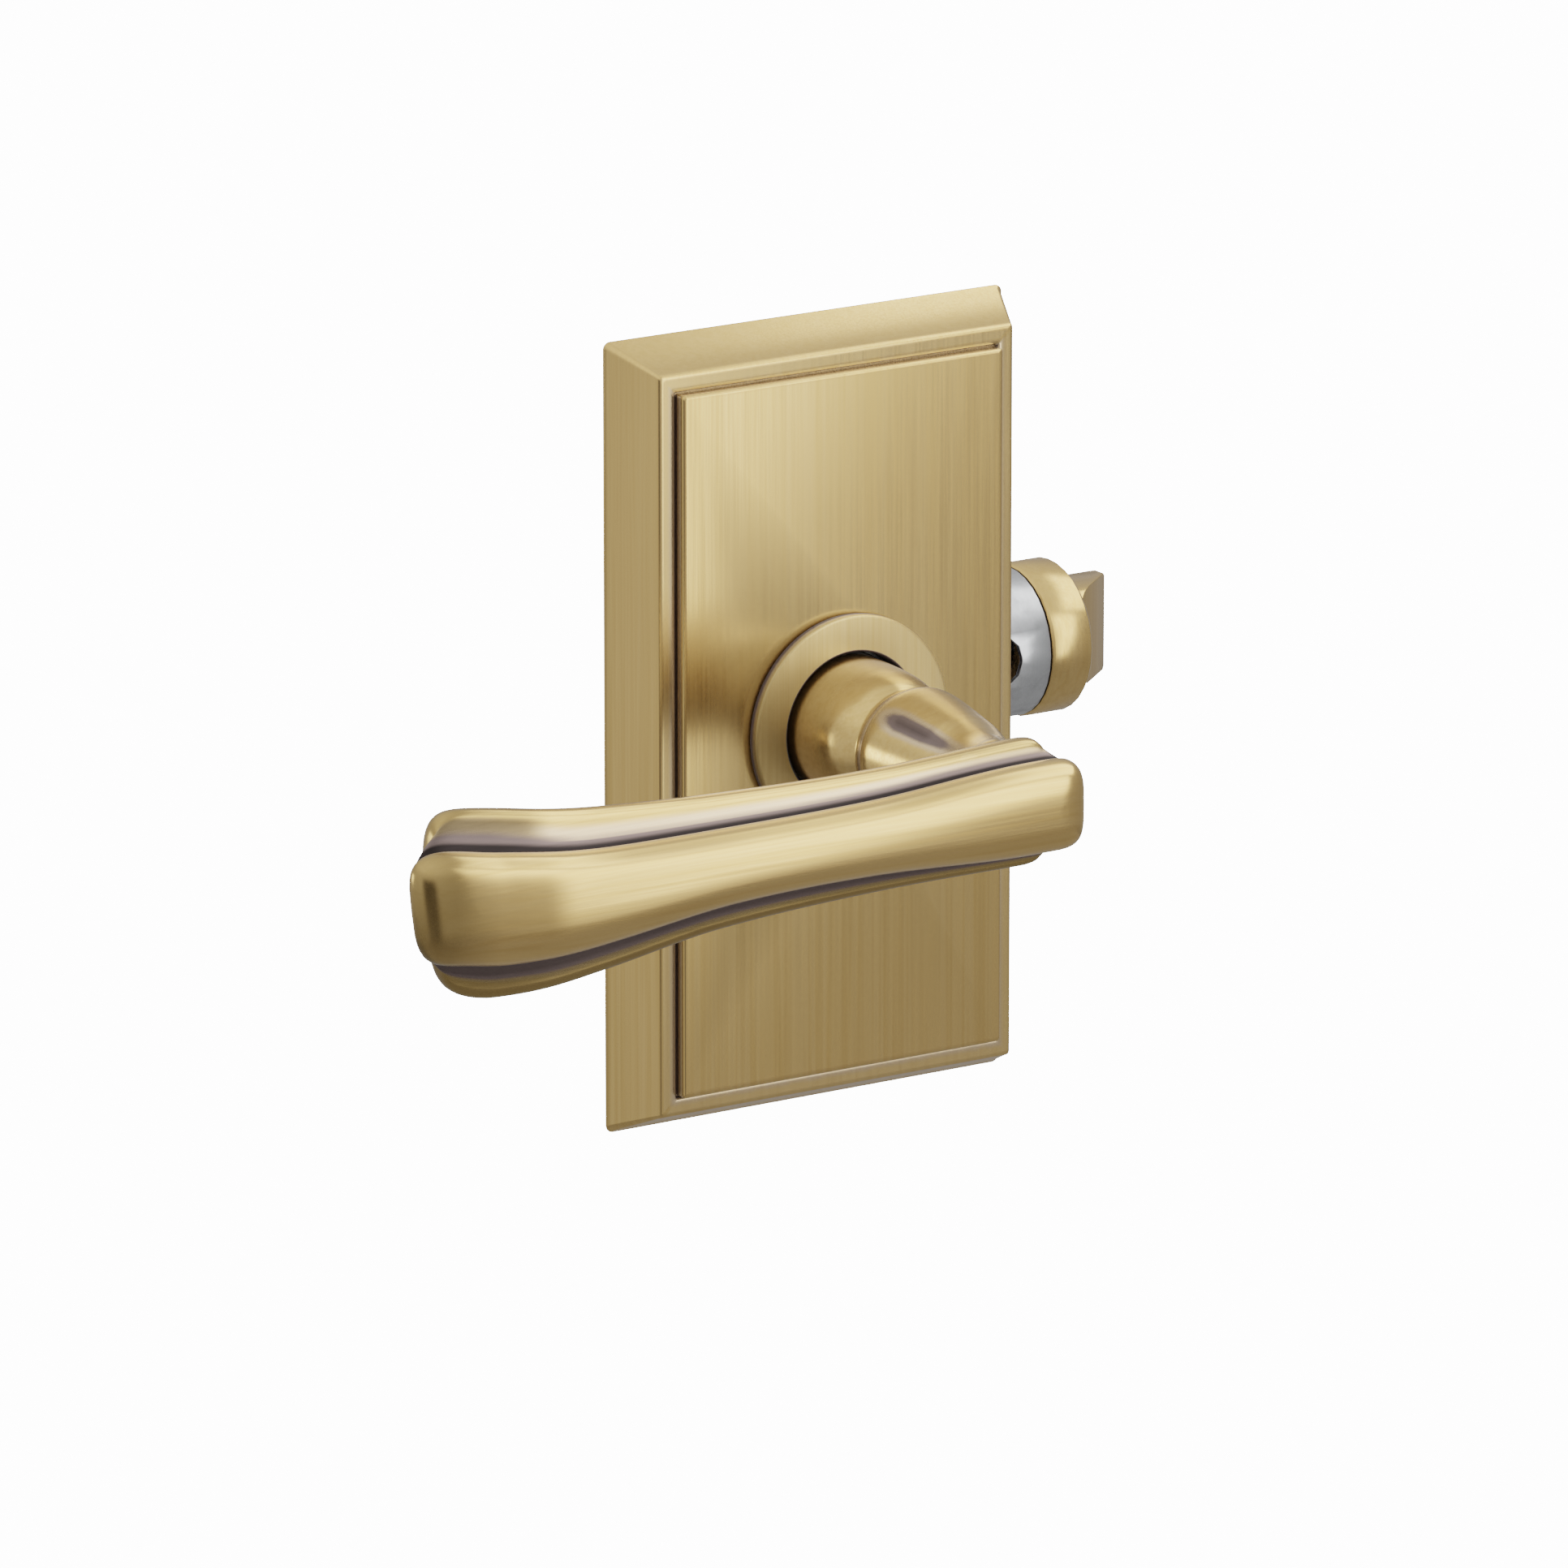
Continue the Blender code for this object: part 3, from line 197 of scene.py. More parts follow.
def slab(name, half_u, half_v, radius, start, end, place, soft=0.0, steps=8):
    """Block with round corners. soft rounds the edges of its two faces."""
    levels = [(start, soft), (start + soft * 0.3, soft * 0.3), (start + soft, 0.0)]
    levels += [(end - soft, 0.0), (end - soft * 0.3, soft * 0.3), (end, soft)]
    if not soft:
        levels = [(start, 0.0), (end, 0.0)]
    rings = []
    for height, inset in levels:
        outline = rounded_rectangle(half_u - inset, half_v - inset, max(radius - inset, 0.02), steps)
        rings.append([place(u, v, height) for u, v in outline])
    return skin(name, rings)


def box(name, low, high):
    """Plain block between two opposite corners."""
    (x0, y0, z0), (x1, y1, z1) = low, high
    rings = [[(x, y0, z0), (x, y1, z0), (x, y1, z1), (x, y0, z1)] for x in (x0, x1)]
    return skin(name, rings)


def combine(target, *steps):
    """Applies (operation, tool) pairs to the target, and removes the tools."""
    for operation, tool in steps:
        mod = target.modifiers.new(tool.name, "BOOLEAN")
        mod.operation = operation
        mod.solver = "EXACT"
        mod.object = tool
    bpy.context.view_layer.update()
    graph = bpy.context.evaluated_depsgraph_get()
    mesh = bpy.data.meshes.new_from_object(target.evaluated_get(graph), depsgraph=graph)
    target.modifiers.clear()
    old = target.data
    target.data = mesh
    bpy.data.meshes.remove(old)
    mesh.name = target.name
    for _, tool in steps:
        bpy.data.meshes.remove(tool.data)
    return target


def clamped(value):
    """The value, held between 0 and 1."""
    return min(1.0, max(0.0, value))


def rise(value, start, end):
    """0 before start, 1 past end and straight in between. start may be the higher of the two."""
    return clamped((value - start) / (end - start))


def smooth_between(stations, at):
    """Smooth curve through a few (position, value) stations in rising order, level beyond the ends."""
    if at <= stations[0][0]:
        return stations[0][1]
    if at >= stations[-1][0]:
        return stations[-1][1]
    last = len(stations) - 1
    slopes = []
    for i in range(len(stations)):
        low, high = stations[max(i - 1, 0)], stations[min(i + 1, last)]
        slopes.append(0.0 if i in (0, last) else (high[1] - low[1]) / (high[0] - low[0]))
    for i, ((x0, v0), (x1, v1)) in enumerate(zip(stations, stations[1:])):
        if at <= x1:
            span = x1 - x0
            t = (at - x0) / span
            start = (1 + 2 * t) * (1 - t) ** 2 * v0 + t * (1 - t) ** 2 * span * slopes[i]
            end = t * t * (3 - 2 * t) * v1 + t * t * (t - 1) * span * slopes[i + 1]
            return start + end
    return stations[-1][1]


# ---------------------------------------------------------------- materials


class Tree:
    """Short way to add and join shader nodes."""

    def __init__(self, name):
        self.material = bpy.data.materials.new(name)
        self.material.use_nodes = True
        self.nodes = self.material.node_tree.nodes
        self.links = self.material.node_tree.links
        self.shader = self.nodes["Principled BSDF"]

    def add(self, kind, **inputs):
        node = self.nodes.new("ShaderNode" + kind)
        for key, value in inputs.items():
            key = key.replace("_", " ")
            if isinstance(value, bpy.types.NodeSocket):
                self.links.new(value, node.inputs[key])
            else:
                node.inputs[key].default_value = value
        return node

    def ramp(self, factor, low, high, out_low, out_high):
        node = self.nodes.new("ShaderNodeMapRange")
        node.interpolation_type = "SMOOTHSTEP"
        node.inputs["From Min"].default_value = low
        node.inputs["From Max"].default_value = high
        node.inputs["To Min"].default_value = out_low
        node.inputs["To Max"].default_value = out_high
        self.links.new(factor, node.inputs["Value"])
        return node.outputs["Result"]

    def math(self, operation, a, b):
        node = self.nodes.new("ShaderNodeMath")
        node.operation = operation
        for socket, value in zip(node.inputs, (a, b)):
            if isinstance(value, bpy.types.NodeSocket):
                self.links.new(value, socket)
            else:
                socket.default_value = value
        return node.outputs[0]

    def mix(self, factor, a, b, blend="MIX"):
        node = self.nodes.new("ShaderNodeMix")
        node.data_type = "RGBA"
        node.blend_type = blend
        for socket, value in ((node.inputs[0], factor), (node.inputs[6], a), (node.inputs[7], b)):
            if isinstance(value, bpy.types.NodeSocket):
                self.links.new(value, socket)
            else:
                socket.default_value = value
        return node.outputs[2]

    def streaks(self, stretch, scale=1.0, detail=3.0):
        """Noise drawn out along one axis. stretch holds cycles per metre along X, Y and Z."""
        coordinates = self.nodes.new("ShaderNodeTexCoord").outputs["Object"]
        mapping = self.add("Mapping", Vector=coordinates, Scale=[value * scale for value in stretch])
        noise = self.add("TexNoise", Vector=mapping.outputs[0], Scale=1.0, Detail=detail, Roughness=0.6)
        return noise.outputs["Fac"]

    def recess(self, reach, samples=8):
        """1 in open air, towards 0 inside grooves narrower than the reach."""
        node = self.add("AmbientOcclusion", Distance=reach * MM)
        node.samples = samples
        return node.outputs["AO"]

    def blend_surface(self, factor, a, b):
        """Makes a mix of two shaders the material's surface."""
        blend = self.nodes.new("ShaderNodeMixShader")
        for socket, output in zip(blend.inputs, (factor, a, b)):
            self.links.new(output, socket)
        self.links.new(blend.outputs[0], self.nodes["Material Output"].inputs["Surface"])

    def set(self, **inputs):
        for key, value in inputs.items():
            socket = self.shader.inputs[key.replace("_", " ")]
            if isinstance(value, bpy.types.NodeSocket):
                self.links.new(value, socket)
            else:
                socket.default_value = value
        return self.material


# Grain of a brushed or rolled surface: cycles per metre along X, Y and Z.
UPRIGHT = (2600.0, 2600.0, 34.0)
LENGTHWISE = (34.0, 2400.0, 2400.0)
ROLLED = (900.0, 900.0, 60.0)

BRASS = (0.775, 0.500, 0.198, 1.0)
BRASS_PALE = (0.860, 0.590, 0.275, 1.0)
BRASS_DEEP = (0.630, 0.380, 0.125, 1.0)
# Paler brass for the collar: painted light that brightens its face.
BRASS_COLLAR_LIT = (0.930, 0.650, 0.290, 1.0)
BRASS_SEEN_TWICE = (0.620, 0.550, 0.440, 1.0)

# Patina and painted shade darken with their amount: a lilac bloom up to 0.5, dark patina and shade up to 1,
# near black up to 2.
BLOOM = (0.700, 0.520, 0.330, 1.0)
DARK_PATINA_AND_SHADE = (0.200, 0.152, 0.140, 1.0)
DEEPEST_PATINA_AND_SHADE = (0.026, 0.021, 0.020, 1.0)
# Painted shade is laid in this brown.
PAINTED_SHADE_BROWN = (0.300, 0.200, 0.075, 1.0)

# The brushed lines fade to four tenths of their strength near the lever and above it, between these heights.
LINES_FULL_BELOW = -20.0
LINES_FAINT_ABOVE = 25.0


def antique_brass(name, grain, grain_strength=0.025, roughness=0.23, anisotropy=0.0, recess_reach=0.0,
                  line_strength=0.42, base=BRASS):
    """Satin brass, brushed along its grain, with dark patina and painted shade in recesses and pale rubbed
    edges.

    Patina with painted shade, and brown painted shade, lie where the mesh's attributes of those names put
    them, and with a recess reach patina gathers in corners too.
    gathers in corners too. Brass that other brass reflects is paler, or its colour would build up.
    """
    tree = Tree(name)
    fine = tree.streaks(grain, 1.0, 4.0)
    broad = tree.streaks(grain, 0.16, 2.0)
    cloud = tree.streaks((26.0, 26.0, 26.0), 1.0, 2.0)
    color = tree.mix(tree.ramp(fine, 0.30, 0.70, 0.0, 0.22), base, BRASS_DEEP)
    color = tree.mix(tree.ramp(broad, 0.35, 0.72, 0.0, 0.16), color, BRASS_PALE)
    color = tree.mix(tree.ramp(cloud, 0.40, 0.75, 0.0, 0.12), color, BRASS_DEEP)
    lines = tree.ramp(tree.streaks(grain, 0.36, 1.0), 0.42, 0.66, 0.0, line_strength)
    coordinates = tree.nodes.new("ShaderNodeTexCoord").outputs["Object"]
    height = tree.add("SeparateXYZ", Vector=coordinates).outputs["Z"]
    lines_fade = tree.ramp(height, LINES_FULL_BELOW * MM, LINES_FAINT_ABOVE * MM, 1.0, 0.4)
    color = tree.mix(tree.math("MULTIPLY", lines, lines_fade), color, BRASS_DEEP)
    pointed = tree.nodes.new("ShaderNodeNewGeometry").outputs["Pointiness"]
    color = tree.mix(tree.ramp(pointed, 0.53, 0.60, 0.0, 0.45), color, BRASS_PALE)
    # This attribute holds patina and painted shade together: shade in creases, gaps and undersides.
    held = tree.add("Attribute")
    held.attribute_name = "patina_and_shade"
    wisps = tree.math("MULTIPLY", tree.math("SUBTRACT", broad, 0.5), 0.2)
    laid = tree.math("ADD", held.outputs["Fac"], wisps)
    darkening = tree.ramp(laid, 0.50, 1.0, 0.0, 1.0)
    if recess_reach:
        darkening = tree.math("MAXIMUM", darkening, tree.ramp(tree.recess(recess_reach), 0.15, 0.6, 0.9, 0.0))
    color = tree.mix(tree.ramp(laid, 0.10, 0.50, 0.0, 1.0), color, BLOOM)
    # Painted shade in brown, where the mesh attribute puts it.
    shade_held = tree.add("Attribute")
    shade_held.attribute_name = "painted_shade"
    color = tree.mix(shade_held.outputs["Fac"], color, PAINTED_SHADE_BROWN)
    color = tree.mix(darkening, color, DARK_PATINA_AND_SHADE)
    color = tree.mix(tree.ramp(laid, 1.0, 2.0, 0.0, 1.0), color, DEEPEST_PATINA_AND_SHADE)
    rays = tree.nodes.new("ShaderNodeLightPath")
    color = tree.mix(rays.outputs["Is Camera Ray"], BRASS_SEEN_TWICE, color)
    rough = tree.math("ADD", tree.ramp(fine, 0.3, 0.7, roughness - 0.03, roughness + 0.04),
                      tree.math("MULTIPLY", darkening, 0.14))
    bump = tree.add("Bump", Height=fine, Strength=grain_strength, Distance=0.03 * MM)
    if anisotropy:
        tangent = tree.nodes.new("ShaderNodeTangent")
        tangent.direction_type = "UV_MAP"
        tangent.uv_map = "across"
        tree.links.new(tangent.outputs[0], tree.shader.inputs["Tangent"])
        tree.set(Anisotropic=anisotropy)
    return tree.set(Base_Color=color, Metallic=1.0, Roughness=rough, Normal=bump.outputs[0])


def plated_steel(name, base, roughness=0.36):
    """Zinc-plated or plain steel: faint rolling marks, mottled plating and grime in corners."""
    tree = Tree(name)
    fine = tree.streaks(ROLLED, 1.0, 4.0)
    patches = tree.streaks((160.0, 160.0, 160.0), 1.0, 5.0)
    light = tuple(min(1.0, 1.16 * value) for value in base) + (1.0,)
    dark = tuple(0.66 * value for value in base) + (1.0,)
    grime = tuple(0.22 * value for value in base) + (1.0,)
    color = tree.mix(tree.ramp(fine, 0.3, 0.7, 0.0, 0.6), (*base, 1.0), light)
    color = tree.mix(tree.ramp(patches, 0.45, 0.72, 0.0, 0.5), color, dark)
    darkening = tree.ramp(tree.recess(2.0, 6), 0.25, 0.8, 0.75, 0.0)
    color = tree.mix(darkening, color, grime)
    rough = tree.math("ADD", tree.ramp(patches, 0.35, 0.75, roughness - 0.08, roughness + 0.12),
                      tree.math("MULTIPLY", darkening, 0.2))
    bump = tree.add("Bump", Height=fine, Strength=0.12, Distance=0.03 * MM)
    return tree.set(Base_Color=color, Metallic=1.0, Roughness=rough, Normal=bump.outputs[0])


MILKY = (0.78, 0.77, 0.71, 1.0)
YELLOWED = (0.62, 0.60, 0.52, 1.0)
GREASE_AND_SHADE = (0.03, 0.025, 0.02, 1.0)


def nylon(name):
    """Milky moulded plastic with a fine matt texture, and dark grease with painted shade in its corners."""
    tree = Tree(name)
    fine = tree.streaks((2600.0, 2600.0, 2600.0), 1.0, 3.0)
    cloud = tree.streaks((90.0, 90.0, 90.0), 1.0, 3.0)
    color = tree.mix(tree.ramp(cloud, 0.35, 0.7, 0.0, 0.5), MILKY, YELLOWED)
    # Grease and painted shade: darker where the occlusion finds corners.
    color = tree.mix(tree.ramp(tree.recess(4.0), 0.15, 0.85, 1.0, 0.0), color, GREASE_AND_SHADE)
    bump = tree.add("Bump", Height=fine, Strength=0.10, Distance=0.03 * MM)
    return tree.set(Base_Color=color, Roughness=tree.ramp(fine, 0.3, 0.7, 0.42, 0.58), Normal=bump.outputs[0],
                    Subsurface_Weight=0.12, Subsurface_Scale=0.002)


def paint(obj, material, across=None):
    """Gives a piece its material, and a UV map whose U runs across the grain, ten repeats a metre."""
    obj.data.materials.clear()
    obj.data.materials.append(material)
    if across:
        layer = obj.data.uv_layers.new(name="across")
        u_axis, v_axis = across
        for loop in obj.data.loops:
            co = obj.data.vertices[loop.vertex_index].co
            layer.data[loop.index].uv = (co.dot(Vector(u_axis)) * 10, co.dot(Vector(v_axis)) * 10)
    return obj


def store_amount(obj, amount, kind):
    """Stores on each vertex an amount of patina with painted shade, or of painted shade alone, from its
    position in millimetres.
    """
    layer = obj.data.attributes.new(kind, "FLOAT", "POINT")
    for vertex, value in zip(obj.data.vertices, layer.data):
        value.value = amount(*(vertex.co / MM - LAYOUT))


def settle(obj, body, node):
    """Puts a fine piece in place of its CAD node."""
    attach(obj, body)
    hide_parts(node)
    return obj


# ---------------------------------------------------------------- rose and collar

# Insets count from the rose's outline, and depths from the door's face.
LIP_INSET = 4.33
LIP_DEPTH = 10.3
DISH_START = LIP_INSET + 0.5
DISH_STEPS = 12
PANEL_INSET = 7.39
PANEL_ROUND = 0.6
GROOVE_DEPTH = 9.55
WALL_STEPS = 6
ROSE_WALL = 2.0
SHANK_HOLE_RADIUS = 13.75
BOSS_PLACES = [(x, z) for x in (-23.0, 23.0) for z in (-43.0, 43.0)]
BOSS_RADIUS = 3.5
BOSS_START = 2.9
PILOT_RADIUS = 1.6
PILOT_SPAN = (1.0, 9.6)

COLLAR_BORE = 12.3
COLLAR_SLEEVE = 13.4
COLLAR_BACK = 12.65
COLLAR_SHY = 0.3
COLLAR_ROUND = 0.45


def rose_outline(panel_depth):
    """(inset, depth) points over the slope, the lip, the dish, the groove and the panel's wall and edge."""
    slope = LIP_INSET / LIP_DEPTH
    outline = [(0.35, 0.0), (0.12, 0.08), (0.0, 0.35), (0.02, 0.6), (slope, 1.1)]
    for inset, drop in ((-0.42, 0.95), (-0.26, 0.5), (-0.06, 0.16), (0.22, 0.02), (0.5, 0.0)):
        outline.append((LIP_INSET + inset, LIP_DEPTH - drop))
    for step in range(1, DISH_STEPS + 1):
        share = step / DISH_STEPS
        inset = DISH_START + (PANEL_INSET - 0.1 - DISH_START) * share
        outline.append((inset, LIP_DEPTH - (LIP_DEPTH - GROOVE_DEPTH) * share**12))
    wall_start = GROOVE_DEPTH + 0.1
    wall_height = panel_depth - PANEL_ROUND - 0.12 - GROOVE_DEPTH
    for step in range(WALL_STEPS + 1):
        outline.append((PANEL_INSET, wall_start + wall_height * step / WALL_STEPS))
    for step in range(1, WALL_STEPS + 1):
        angle = math.radians(90) * step / WALL_STEPS
        inset = PANEL_INSET + PANEL_ROUND * (1 - math.cos(angle))
        outline.append((inset, panel_depth - PANEL_ROUND * (1 - math.sin(angle))))
    return outline


def rose_hollow(panel_depth):
    """(inset, depth) points of the hollow behind the rose's walls."""
    shelf = GROOVE_DEPTH - ROSE_WALL + 0.4
    slope = LIP_INSET / LIP_DEPTH
    inner_panel = PANEL_INSET + ROSE_WALL
    rim = [(ROSE_WALL, -0.3), (ROSE_WALL, 0.2), (ROSE_WALL + slope * shelf, shelf)]
    return rim + [(inner_panel, shelf), (inner_panel, panel_depth - ROSE_WALL)]


def rose(brass):
    """Rose shell with sloped sides, a dished lip with patina in its groove, and a raised brushed panel with
    painted stripes of light and shade up its wall and a painted shadow beside the collar.
    """
    low, high = corners("rose_plate")
    half_width, half_height, depth = high.x, high.z, -low.y

    def ring(inset, at):
        corner_radius = max(1.2 - 0.15 * inset, 0.5)
        outline = rounded_rectangle(half_width - inset, half_height - inset, corner_radius)
        return [along_y()(u, v, at) for u, v in outline]

    shell = skin("rose", [ring(*point) for point in rose_outline(depth)])
    steps = [("DIFFERENCE", skin("cavity", [ring(*point) for point in rose_hollow(depth)]))]
    steps.append(("DIFFERENCE", rod("hole", SHANK_HOLE_RADIUS, 5, 16, along_y(), 96)))
    for x, z in BOSS_PLACES:
        place = along_y((x, 0.0, z))
        steps.append(("UNION", rod("boss", BOSS_RADIUS, BOSS_START, depth - ROSE_WALL + 0.6, place, 32)))
        steps.append(("DIFFERENCE", rod("pilot", PILOT_RADIUS, *PILOT_SPAN, place, 24)))
    combine(shell, *steps)
    shell.data.set_sharp_from_angle(angle=math.radians(SHARP))

    def groove_patina_and_shade(x, y, z):
        """Lilac patina in the dish, dark patina at the foot of the panel's wall and painted stripes of light
        and shade up the wall; lighter along the top side.
        """
        inset = min(half_width - abs(x), half_height - abs(z))
        kept = 0.45 if half_height - z < half_width - abs(x) else 1.0
        if inset < PANEL_INSET - 0.05:
            lilac = 0.42 * rise(inset, LIP_INSET + 0.9, LIP_INSET + 2.2)
            return kept * (lilac + 1.15 * rise(inset, PANEL_INSET - 0.5, PANEL_INSET - 0.1))
        if inset > PANEL_INSET + 0.3:
            return 0.0
        above = rise(-y, GROOVE_DEPTH, depth - 0.5)
        # Painted stripes of light and shade up the panel's wall, standing in for a stepped edge.
        return kept * (1.2 - 1.05 * above - 0.35 * math.cos(above * 13.0))

    def collar_shadow(x, y, z):
        """Painted shadow beside the collar, at the left."""
        outside = max(math.hypot(x, z) - 18.4, 0.0)
        return 0.68 * math.exp(-((outside / 3.2) ** 2)) * rise(x, 9.0, -11.0)

    store_amount(shell, groove_patina_and_shade, "patina_and_shade")
    store_amount(shell, collar_shadow, "painted_shade")
    paint(shell, brass, across=((1, 0, 0), (0, 0, 1)))
    return settle(shell, ROOT, "rose_plate")


def collar(brass):
    """Collar with rolled edges around the shank."""
    low, high = corners("rose_collar")
    radius, front, sleeve_back = high.x - COLLAR_SHY, -low.y, -high.y
    profile = [(COLLAR_BORE, sleeve_back), (COLLAR_SLEEVE, sleeve_back), (COLLAR_SLEEVE, COLLAR_BACK)]
    profile += [(radius, COLLAR_BACK), (radius, front), (COLLAR_BORE, front)]
    piece = turned("collar", profile, along_y(), 128, COLLAR_ROUND)

    def side_patina_and_shade(x, y, z):
        """Painted shade in the bore's gap, and patina with painted shade on the outer side, but for its front
        edge.
        """
        reach = math.hypot(x, z)
        if reach < COLLAR_BORE + 0.25:
            return 1.6
        return 1.25 * rise(-y, front - 0.35, front - 1.05) if reach > radius - 0.25 else 0.0

    # Painted shade: darker towards the collar's left and lower side.
    def left_painted_shade(x, y, z):
        return 0.72 * clamped((-0.95 * x - 0.3 * z) / radius) ** 0.8

    store_amount(piece, side_patina_and_shade, "patina_and_shade")
    store_amount(piece, left_painted_shade, "painted_shade")
    paint(piece, brass, across=((1, 0, 0), (0, 0, 1)))
    return settle(piece, ROOT, "rose_collar")


# ---------------------------------------------------------------- lever

# Ends of the grip's front layer along X, and depths of its ridges, its shoulder and its step from the door.
GRIP_RIGHT = 7.0
GRIP_LEFT = -113.6
GRIP_BACK = 58.2
GRIP_SHOULDER = 63.6
GRIP_STEP = 67.0
GRIP_FRONT = 72.8
COVE_START = GRIP_SHOULDER + 1.9
COVE_CURVE = 2.2
COVE_STEPS = 12
LAYER_STEP_RIGHT = 3.6
LAYER_STEP_LEFT = 5.0
LEFT_CAP = 9.0
RIGHT_CAP = 6.5
LEAN_REACH = 20.0
BEND_START = -88.0
BEND_CURVE = 5.0
BEND_SLOPE = 0.075

# (x, value) stations: half heights of the back layer and of the front layer's upper and lower half, then
# the height of the grip's middle.
BACK_HEIGHT = ((-109.0, 14.6), (-98.5, 15.1), (-77.5, 12.9), (-57.5, 10.8), (-28.0, 9.8), (2.0, 10.3))
FRONT_HEIGHT = ((-113.0, 8.9), (-98.5, 8.8), (-77.5, 7.4), (-57.5, 6.3), (-32.0, 6.1), (-1.5, 7.2))
FRONT_DROP = ((-113.0, 8.8), (-98.5, 8.5), (-77.5, 6.7), (-57.5, 5.3), (-32.0, 5.3), (-1.5, 7.1))
GRIP_CENTRE = ((-110.0, -1.2), (-98.5, -2.6), (-83.5, -3.3), (-57.5, -2.1), (-28.0, -1.5), (2.0, -0.9))

SHANK_RADIUS = 11.1
SHANK_START = 11.8
JOURNAL_RADIUS = 8.6
JOURNAL_END = -4.6
RING_GROOVE_RADIUS = JOURNAL_RADIUS - 1.1
SOCKET_HALF = 4.27
SOCKET_END = 26.0
FLAT_DISTANCE = 7.6
SET_SCREW_RADIUS = 2.8
SET_SCREW_DEPTH = 20.0

# (radius, depth) of the journal with its ring groove, and of the shank's root.
SHANK_PROFILE = (
    (0.0, JOURNAL_END),
    (JOURNAL_RADIUS - 0.4, JOURNAL_END),
    (JOURNAL_RADIUS, JOURNAL_END + 0.4),
    (JOURNAL_RADIUS, -3.55),
    (RING_GROOVE_RADIUS, -3.55),
    (RING_GROOVE_RADIUS, -2.05),
    (JOURNAL_RADIUS, -2.05),
    (JOURNAL_RADIUS, SHANK_START),
    (SHANK_RADIUS, SHANK_START),
    (SHANK_RADIUS + 0.4, 12.1),
)

# (depth, value) stations: the shank's radius, then the neck's half width, half height and sideways lean.
# The neck is round over its belly.
SHANK_SWELL = (
    (12.1, 11.55), (16.0, 11.6), (20.0, 11.5), (24.0, 11.2), (26.6, 10.6), (28.3, 9.9), (29.6, 9.2),
)
NECK_BELLY = ((29.6, 9.2), (31.2, 9.7), (32.6, 10.45), (34.4, 10.7), (39.4, 10.0), (46.0, 8.8))
NECK_WIDTH = NECK_BELLY + ((50.3, 7.8), (53.6, 7.2), (57.0, 6.8), (60.0, 6.6), (64.5, 5.6))
NECK_HEIGHT = NECK_BELLY + ((50.3, 8.2), (53.6, 8.1), (57.0, 8.7), (60.0, 9.3), (64.5, 8.0))
NECK_CENTRE = ((46.0, 0.0), (50.3, -0.3), (53.6, -0.9), (57.0, -2.0), (60.0, -3.0), (64.5, -3.4))
SWELL_STEPS = 34
NECK_STEPS = 80

# Direction round the neck, in degrees, in which its dark stroke runs, and the stroke's width.
STROKE_TURN = 135.0
STROKE_WIDTH = 10.5


def grip_bend(x):
    """How far the grip's tip leans back to the door: straight, after a short curve."""
    past = max(BEND_START - x, 0.0)
    return -BEND_SLOPE * (past * past / (2 * BEND_CURVE) if past < BEND_CURVE else past - BEND_CURVE / 2)


def grip_ring(depth, front, shrink, side_steps, cap_steps):
    """One contour of the grip. front is 0 on the back layer and 1 on the front one. shrink 0 is its ridge."""
    lean = 0.06 + 0.06 * front
    boxiness = 0.45 + 0.05 * front
    left = GRIP_LEFT + LAYER_STEP_LEFT * (1 - front)
    right = GRIP_RIGHT - LAYER_STEP_RIGHT * (1 - front)
    inner_left, inner_right = left + LEFT_CAP, right - RIGHT_CAP
    points = []

    def add(x, across):
        front_height = smooth_between(FRONT_HEIGHT if across > 0 else FRONT_DROP, x)
        half = smooth_between(BACK_HEIGHT, x) * (1 - front) + front_height * front
        height = half * across * shrink
        tip = max(0.0, (inner_left + LEAN_REACH - x) / (LEAN_REACH + LEFT_CAP))
        z = smooth_between(GRIP_CENTRE, x) + height
        points.append((x - lean * tip * height, -(depth + grip_bend(x)), z))

    upper, lower = (1, inner_right, inner_left, -LEFT_CAP), (-1, inner_left, inner_right, RIGHT_CAP)
    for side, start, end, cap in (upper, lower):
        for step in range(side_steps):
            add(start + (end - start) * step / side_steps, side)
        for step in range(2 * cap_steps):
            share = step / cap_steps
            warp = share**1.6 if share < 1 else 2 - (2 - share) ** 1.6
            angle = math.radians(90) * warp
            along = math.sin(angle) ** boxiness
            across = math.copysign(abs(math.cos(angle)) ** boxiness, math.cos(angle))
            if step == cap_steps:
                across = 0.0
            add(end + cap * along * shrink, side * across)
    return points


def grip_profile(arc_steps):
    """Stack of (depth, front, shrink) contours from the back ridge over the step to the front ridge."""
    stack = []
    round_back = GRIP_SHOULDER - GRIP_BACK
    for step in range(arc_steps + 1):
        angle = math.radians(90) * step / arc_steps
        stack.append((GRIP_SHOULDER - round_back * math.cos(angle), 0.0, math.sin(angle) ** 0.85))
    shoulder = ((0.25, 0.0, 1.0), (0.55, 0.01, 0.993), (0.8, 0.04, 0.98), (1.0, 0.12, 0.955))
    for share, front, shrink in shoulder:
        stack.append((GRIP_SHOULDER + (COVE_START - GRIP_SHOULDER) * share, front, shrink))
    for step in range(1, COVE_STEPS + 1):
        share = step / COVE_STEPS
        depth = COVE_START + (GRIP_STEP - COVE_START) * share**COVE_CURVE
        stack.append((depth, 0.12 + 0.88 * share, 0.955 + 0.01 * share))
    for past, shrink in ((0.12, 0.99), (0.4, 1.008), (0.7, 1.02)):
        stack.append((GRIP_STEP + past, 1.0, shrink))
    front = GRIP_FRONT - GRIP_STEP - 1.0
    for step in range(arc_steps + 1):
        angle = math.radians(90) * step / arc_steps
        depth = GRIP_STEP + 1.0 + front * math.sin(angle) ** 0.9
        stack.append((depth, 1.0, 1.03 * math.cos(angle) ** 0.62 if step < arc_steps else 0.0))
    return stack


